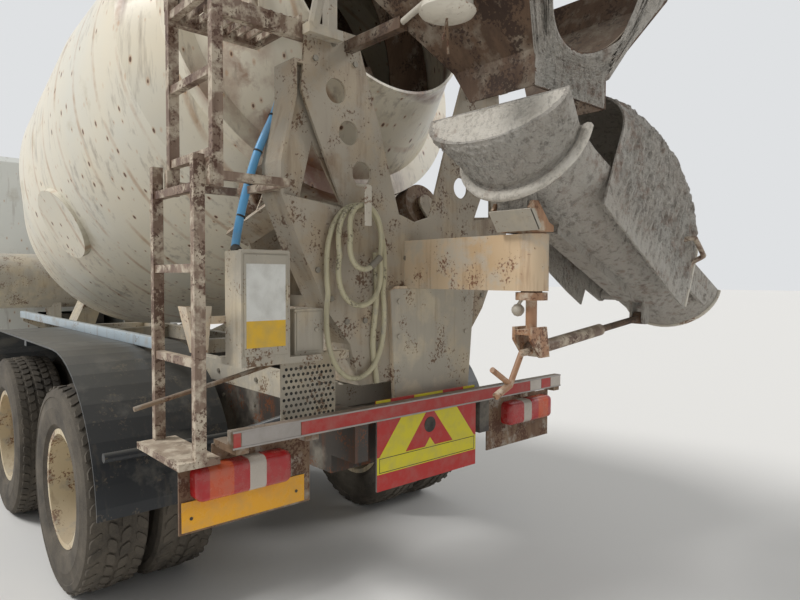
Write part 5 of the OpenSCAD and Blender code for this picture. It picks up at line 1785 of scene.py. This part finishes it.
@dataclass
class Crust:
    """Concrete that has set on the chutes and the funnel: rough skins over their sheets. Sizes in mm."""

    frame: ChuteFrame = field(default_factory=ChuteFrame)
    hood: tuple[Four, ...] = (
        (240, 215, 165, -160), (440, 220, 205, -180), (620, 220, 220, -200), (780, 220, 200, -220),
        (900, 215, 130, -235), (1040, 200, 30, -245),
    )
    hood_half: float = 264.0
    funnel: tuple[Three, ...] = (
        (2250, -2140, 235), (2375, -2140, 235), (2700, -2262, 480), (2860, -2300, 530),
    )
    notch_z: float = 2750.0
    notch_r: float = 330.0
    scoop: Four = (-200.0, 312.0, 118.0, 28.0)
    flank: tuple[tuple[float, ...], ...] = ((-196.0, 319.0, 124.0), (-18.0, 257.0, 196.0))
    lump_rate: float = 22.0
    thinnest: float = 0.12
    sunk: float = 1.5

    def build(self) -> None:
        """Makes the skins."""
        up, rear, left, down = (0, -0.4, 1), (-1, 0, 0), (0, 1, 0), (0, 0.2, -1)
        crust, pale = Finish.CRUST, Finish.CRUST_PALE_SUNLIT
        for name, body, surface, steps, thickness, grain, outward, finish in (
            ("hood_crust", "flap_chute", self._hood, (240, 180), 22.0, (2.0, 0.9), up, crust),
            ("funnel_crust", "truck", self._funnel, (110, 110), 13.0, (1.6, 0.9), rear, crust),
            # The scoop's end gets the pale crust as painted sunlight; its underside keeps the mid-grey crust.
            ("scoop_crust", "chute", self._scoop, (60, 40), 8.0, (1.4, 0.7), left, pale),
            ("scoop_flank_crust", "chute", self._under, (50, 170), 12.0, (0.5, 2.2), down, crust),
        ):
            tops, bases = self._relief(surface, steps, thickness, grain, outward, len(name))
            skin = self._skin(tops, bases, steps)
            skin.piece(name, body, finish, 80, slot="chute_steel")

    @staticmethod
    def _between(rows: Sequence[Sequence[float]], place: float) -> list[float]:
        """Reads a table between its rows.

        Args:
            rows: Rows that start with their place.
            place: The place asked for.

        Returns:
            The other columns' values there.
        """
        for low, high in zip(rows, rows[1:]):
            if place <= high[0] or high is rows[-1]:
                t = (place - low[0]) / (high[0] - low[0])
                return [a + (b - a) * t for a, b in zip(low[1:], high[1:])]
        return list(rows[-1][1:])

    def _hood(self, u: float, v: float) -> Vector:
        """Outer skin of the folded chute.

        Args:
            u: Share of the way along it.
            v: Share of the way around it.

        Returns:
            The place in the row frame.
        """
        first, last = self.hood[0][0] + 8, self.hood[-1][0] - 8
        along = first + (last - first) * u
        arch, start, low = self._between(self.hood, along)
        w = self.hood_half
        flank = start - low - 10
        around = math.pi * (w + arch) / 2
        total = 2 * flank + around
        d = v * total
        if d < flank:
            return self.frame.point(along, w, low + 10 + d)
        if d > flank + around:
            return self.frame.point(along, -w, low + 10 + total - d)
        a = (d - flank) / around * math.pi
        return self.frame.point(along, w * math.cos(a), start + arch * math.sin(a))

    def _funnel(self, u: float, v: float) -> Vector:
        """Rear wall of the funnel, below its round notch.

        Args:
            u: Share of the way across it.
            v: Share of the way up it.

        Returns:
            The place in the row frame.
        """
        side = 2 * u - 1
        foot, top = self.funnel[0][0] + 2, self.funnel[-1][0] - 4
        z = foot + v * 600
        for _ in range(3):
            x, half = self._between(self.funnel, z)
            y = side * (half - 6)
            high = top
            if abs(y) < self.notch_r:
                high = self.notch_z - math.sqrt(self.notch_r**2 - y * y) - 3
            z = foot + v * (high - foot)
        return at(x, y if v else side * (self.funnel[0][2] - 6), z)

    def _scoop(self, u: float, v: float) -> Vector:
        """Closed upper end of the main chute.

        Args:
            u: Share of the way around its edge.
            v: Share of the way from its middle out.

        Returns:
            The place in the row frame.
        """
        a = math.pi * u
        along, half, depth, rise = self.scoop
        edge_y, edge_h = half * math.cos(a), rise - (rise + depth) * math.sin(a)
        return self.frame.point(along, edge_y * (0.04 + 0.96 * v), 20 + (edge_h - 20) * v)

    def _under(self, u: float, v: float) -> Vector:
        """Underside of the closed upper end, from its end plate to the collar.

        Args:
            u: Share of the way along it.
            v: Share of the way around it.

        Returns:
            The place in the row frame.
        """
        a = math.pi * v
        along, half, depth = (p + (q - p) * u for p, q in zip(*self.flank))
        return self.frame.point(along, half * math.cos(a), -depth * math.sin(a))

    def _relief(
        self,
        surface: Callable[[float, float], Vector],
        steps: tuple[int, int],
        thickness: float,
        grain: Pair,
        outward: Point,
        seed: int,
    ) -> tuple[list[Vector], list[Vector]]:
        """Lays a lumpy crust over a surface, thinner towards its edges.

        Args:
            surface: Place on the sheet for two numbers from 0 to 1.
            steps: Steps each way.
            thickness: Greatest thickness.
            grain: How fine the lumps are each way.
            outward: Which way the skin's middle faces.
            seed: Place in the noise.

        Returns:
            The points of its outer and of its inner side, row by row.
        """
        eps = 0.004
        middle = surface(0.5, 0.5)
        slope = (surface(0.51, 0.5) - middle).cross(surface(0.5, 0.51) - middle)
        sign = 1.0 if slope.dot(Vector(outward)) > 0 else -1.0
        tops, bases = [], []
        for i in range(steps[0] + 1):
            u = i / steps[0]
            for k in range(steps[1] + 1):
                v = k / steps[1]
                p = surface(u, v)
                du = surface(min(u + eps, 1), v) - surface(max(u - eps, 0), v)
                dv = surface(u, min(v + eps, 1)) - surface(u, max(v - eps, 0))
                normal = du.cross(dv)
                normal = sign * normal.normalized() if normal.length > 1e-12 else Vector(outward)
                spot = Vector((u * grain[0] * self.lump_rate, v * grain[1] * self.lump_rate, seed))
                lumps = noise.fractal(spot, 0.8, 2.1, 4) * 0.75 + 0.5
                edge = min(1.0, min(u, 1 - u, v, 1 - v) * 12)
                thick = thickness * max(self.thinnest, min(1.0, lumps)) * edge - 0.6
                tops.append(p + normal * thick * MM)
                bases.append(p - normal * self.sunk * MM)
        return tops, bases

    @staticmethod
    def _skin(tops: list[Vector], bases: list[Vector], steps: tuple[int, int]) -> Shape:
        """Closes a crust between its outer and its inner side.

        Args:
            tops: Points of the outer side, row by row.
            bases: Points of the inner side, row by row.
            steps: Steps each way.

        Returns:
            The closed shape.
        """
        shape = Shape()
        (rows, columns), total = steps, len(tops)
        row = columns + 1
        faces = []
        for i in range(rows):
            for k in range(columns):
                a = i * row + k
                faces.append((a, a + row, a + row + 1, a + 1))
                faces.append((total + a, total + a + 1, total + a + row + 1, total + a + row))
        rim = list(range(row)) + [i * row + columns for i in range(1, rows + 1)]
        rim += [rows * row + k for k in range(columns - 1, -1, -1)]
        rim += [i * row for i in range(rows - 1, 0, -1)]
        for a, b in zip(rim, rim[1:] + rim[:1]):
            faces.append((a, b, total + b, total + a))
        shape.add(tops + bases, faces)
        return shape


@dataclass
class SideRails:
    """Pale rails lying on the mudguards' tops, held by the frame ahead of them. Sizes in mm."""

    outer: float = 872.0
    depth: float = 38.0
    height: float = 58.0
    back: float = -380.0
    front: float = 2760.0
    stays_x: Pair = (1900.0, 2640.0)
    stay_y: float = 428.0
    stay_z: Pair = (1020.0, 1090.0)

    def build(self) -> None:
        """Makes both rails and the stays that reach out to them."""
        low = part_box("rear_wings")[1].z / MM - 2
        rails, stays = Shape(), Shape()
        foot, (z0, z1) = self.stay_y, self.stay_z
        arm = [(foot, z0), (foot + 72, z0), (self.outer, low - 24), (self.outer, low + 2),
               (self.outer - 80, low + 2), (foot, z1)]
        for _, side in SIDES[::-1]:
            inner = side * (self.outer - self.depth)
            rails.span((self.back, side * self.outer, low), (self.front, inner, low + self.height))
            for x in self.stays_x:
                stays.plate_yz([(side * y, z) for y, z in arm][::side], x, x + 8)
        rails.piece("side_rails", "truck", Finish.RAIL, bevel_mm=5.0, slot="mixer_paint")
        stays.piece("rail_brackets", "truck", Finish.MIXER, slot="mixer_paint")


@dataclass
class CabTrim:
    """Seals, wipers, handles, grab rails, steps, seams and corner lamps of the cab. Sizes in mm."""

    front: float = 5960.0
    rear: float = 4180.0
    low: float = 960.0
    half: float = 1150.0
    sill: float = 1860.0
    door: Pair = (4670.0, 5770.0)
    upright: float = 620.0
    screen_lean: float = 150.0 / 1080.0
    screen: Three = (1040.0, 800.0, 1620.0)
    rear_window: Three = (400.0, 2010.0, 2540.0)
    door_window: Four = (70.0, 75.0, 150.0, 2570.0)
    seam_y: float = 1000.0
    seam_z: Three = (20.0, 612.0, 616.0)
    corner_lamp: Four = (1062.0, 1160.0, 640.0, 760.0)
    wipers_y: Pair = (-760.0, 160.0)
    grip_x: Three = (64.0, 216.0, 250.0)
    grip_z: Pair = (124.0, 86.0)
    rail_x: float = 4560.0
    rail_z: Pair = (1420.0, 2200.0)
    rail_off: float = 45.0
    steps_x: Pair = (5278.0, 5660.0)
    steps_y: Pair = (900.0, 1140.0)
    steps_z: Pair = (480.0, 760.0)
    well_z: Pair = (470.0, 962.0)
    plate: float = 12.0
    tread: float = 34.0

    def _screen_at(self, y: float, z: float, off: float = 0.0) -> Vector:
        """A place on the cab's sloping front, as far off it as told."""
        return at(self.front - self.screen_lean * max(0.0, z - self.low - self.upright) + off, y, z)

    def build(self) -> None:
        """Makes the cab's trim."""
        self._seals()
        self._wipers()
        self._sides()
        self._steps()
        self._front()

    def _front(self) -> None:
        """Cracks round the front flap and the amber lamps at the bumper's corners."""
        foot, low, high = (self.low + z for z in self.seam_z)
        near, far = self.front - 1, self.front + 0.8
        seams = Shape()
        for y in (-self.seam_y, self.seam_y):
            seams.span((near, y - 2, foot), (far, y + 2, low + 3))
        seams.span((near, 20 - self.half, low), (far, self.half - 20, high))
        seams.piece("cab_front_seams", "truck", Finish.BLACK, slot="trim_plastic")
        y0, y1, z0, z1 = self.corner_lamp
        for name, side in SIDES:
            lens = Shape()
            lens.span((self.front + 59, side * y0, z0), (self.front + 70, side * y1, z1))
            lens.piece(f"corner_lamp_{name}", "truck", Finish.LENS_AMBER, bevel_mm=5.0, slot="lamp_plastic")

    def _seals(self) -> None:
        """Rubber seals of the windscreen, the rear window and the door windows."""
        seal = Shape()
        half, low, high = self.screen
        ring = [(-half, low), (half, low), (half, high), (-half, high), (-half, low)]
        corners = [self._screen_at(y, self.low + z, 2) for y, z in ring]
        for a, b in zip(corners, corners[1:]):
            seal.tube([a, b], 13 * MM, 10)
        half, low, high = self.rear_window
        ring = [(-half, low), (half, low), (half, high), (-half, high), (-half, low)]
        for (y0, z0), (y1, z1) in zip(ring, ring[1:]):
            seal.rod((self.rear, y0, z0), (self.rear, y1, z1), 12, 10)
        seal.piece("window_seals", "truck", Finish.BLACK, 60, slot="trim_plastic")
        rear, front, slope, top = self.door_window
        back = self.door[0] + rear
        ring = [(back, self.sill), (self.door[1] - front, self.sill), (self.door[1] - slope, top),
                (back, top), (back, self.sill)]
        for name, side in SIDES:
            seal = Shape()
            for (x0, z0), (x1, z1) in zip(ring, ring[1:]):
                seal.rod((x0, side * self.half, z0), (x1, side * self.half, z1), 9, 10)
            seal.piece(f"door_seal_{name}", f"cab_door_{name}", Finish.BLACK, 60, slot="trim_plastic")

    def _wipers(self) -> None:
        """Two parked wipers: a spindle, an arm and a blade each."""
        wipers = Shape()
        low = self.low + self.screen[1]
        for y in self.wipers_y:
            for start, end, radius, sides in (
                ((y, low - 40, -6), (y, low - 40, 30), 16, 14),
                ((y, low - 40, 24), (y + 330, low + 42, 26), 7, 8),
                ((y + 40, low + 30, 12), (y + 640, low + 56, 12), 8, 6),
            ):
                wipers.tube([self._screen_at(*start), self._screen_at(*end)], radius * MM, sides)
        wipers.piece("wipers", "truck", Finish.BLACK, 50, slot="trim_plastic")

    def _sides(self) -> None:
        """Door handles with their locks, and grab rails behind the doors."""
        start, end, lock = (self.door[0] + x for x in self.grip_x)
        low, high = (self.sill - z for z in self.grip_z)
        for name, side in SIDES:
            grip = Shape()
            grip.span((start, side * (self.half + 1), low), (end, side * (self.half + 31), high))
            grip.disc((lock, side * (self.half - 1), (low + high) / 2), (0, side, 0), 11, 5, 16)
            grip.piece(
                f"door_grip_{name}", f"cab_door_{name}", Finish.BLACK, bevel_mm=7.0, slot="trim_plastic"
            )
        bars = Shape()
        low, high = self.rail_z
        for _, side in SIDES[::-1]:
            y0, y1 = side * self.half, side * (self.half + self.rail_off)
            a, b, c, d = (
                at(self.rail_x, y, z) for y, z in ((y0, low), (y1, low + 20), (y1, high - 20), (y0, high))
            )
            line = [a, a.lerp(b, 0.7), b.lerp(c, 0.03), b.lerp(c, 0.97), d.lerp(c, 0.7), d]
            bars.tube(smooth_path(line, 4), 13 * MM, 12)
        bars.piece("grab_rails", "truck", Finish.BLACK, 60, slot="trim_plastic")

    def _steps(self) -> None:
        """Step wells under the front of the doors: two ribbed treads between three plates."""
        steps = Shape()
        (x0, x1), (inner, outer), (low, high) = self.steps_x, self.steps_y, self.well_z
        for _, side in SIDES[::-1]:
            y0, y1 = sorted((side * outer, side * inner))
            for z in self.steps_z:
                steps.span((x0 + self.plate, y0, z), (x1, y1, z + self.tread))
                for k in range(6):
                    x = x0 + 22 + 60 * k
                    steps.span((x, y0 + 12, z + self.tread - 1), (x + 30, y1 - 12, z + self.tread + 7))
            for x in (x0, x1):
                steps.span((x, y0, low), (x + self.plate, y1, high))
            steps.span((x0, side * inner, low), (x1 + self.plate, side * (inner - self.plate), high))
        steps.piece("cab_steps", "truck", Finish.PLASTIC, bevel_mm=2.0, slot="trim_plastic")


@dataclass
class Bolts:
    """Hexagon bolts of the pedestals, brackets and frame, as shown and from the type. Sizes in mm."""

    head: float = 13.0
    height: float = 8.0
    pedestal_x: float = -1300.0
    pedestal: tuple[Pair, ...] = (
        (356, 2500), (470, 2560), (560, 2480), (300, 1400), (400, 1400), (480, 1500), (550, 1620),
        (60, 1480), (60, 1680), (240, 1180), (60, 1180), (200, 1300),
    )
    frame_y: float = 430.0
    subframe_z: float = 1060.0
    subframe_x: range = range(-1000, 3300, 430)
    frame_z: Pair = (800.0, 930.0)
    frame_x: range = range(-900, 4300, 350)
    frame_head: float = 11.0

    def build(self) -> None:
        """Makes all fixed bolts as one piece."""
        shape = Shape()
        for _, side in SIDES[::-1]:
            out = (0, side, 0)
            for y, z in self.pedestal:
                place = (self.pedestal_x - self.height, side * y, z)
                shape.disc(place, ALONG, self.head, self.height + 1)
            for x in self.subframe_x:
                shape.disc((x, side * self.frame_y, self.subframe_z), out, self.head, self.height)
            for x in self.frame_x:
                for z in self.frame_z:
                    shape.disc((x, side * (self.frame_y - 0.5), z), out, self.frame_head, self.height)
        shape.piece("bolts", "truck", Finish.ZINC, slot="bare_steel")


def dress_cad_nodes() -> None:
    """Gives every CAD node the finish of its material slot."""
    for row in frame["record"]["subparts"]:
        node = frame["nodes"][row["node"]]
        finish = NODE_FINISH.get(row["node"], SLOT_FINISH[row["material_slot"]])
        node.data.materials.clear()
        node.data.materials.append(material_of(finish))
    LOG.info("dressed %d CAD nodes", len(frame["nodes"]))


def main() -> None:
    """Builds the scene, one sub-assembly after the other."""
    logging.basicConfig(level=logging.INFO, format="%(message)s")
    PhotoCamera().build()
    Studio().build()
    dress_cad_nodes()
    for part in (Wheels(), RearBar(), Controls(), WashHose(), ChuteDetails(), Crust(), SideRails(), CabTrim(),
                 Bolts()):
        part.build()


if __name__ == "__main__":
    main()
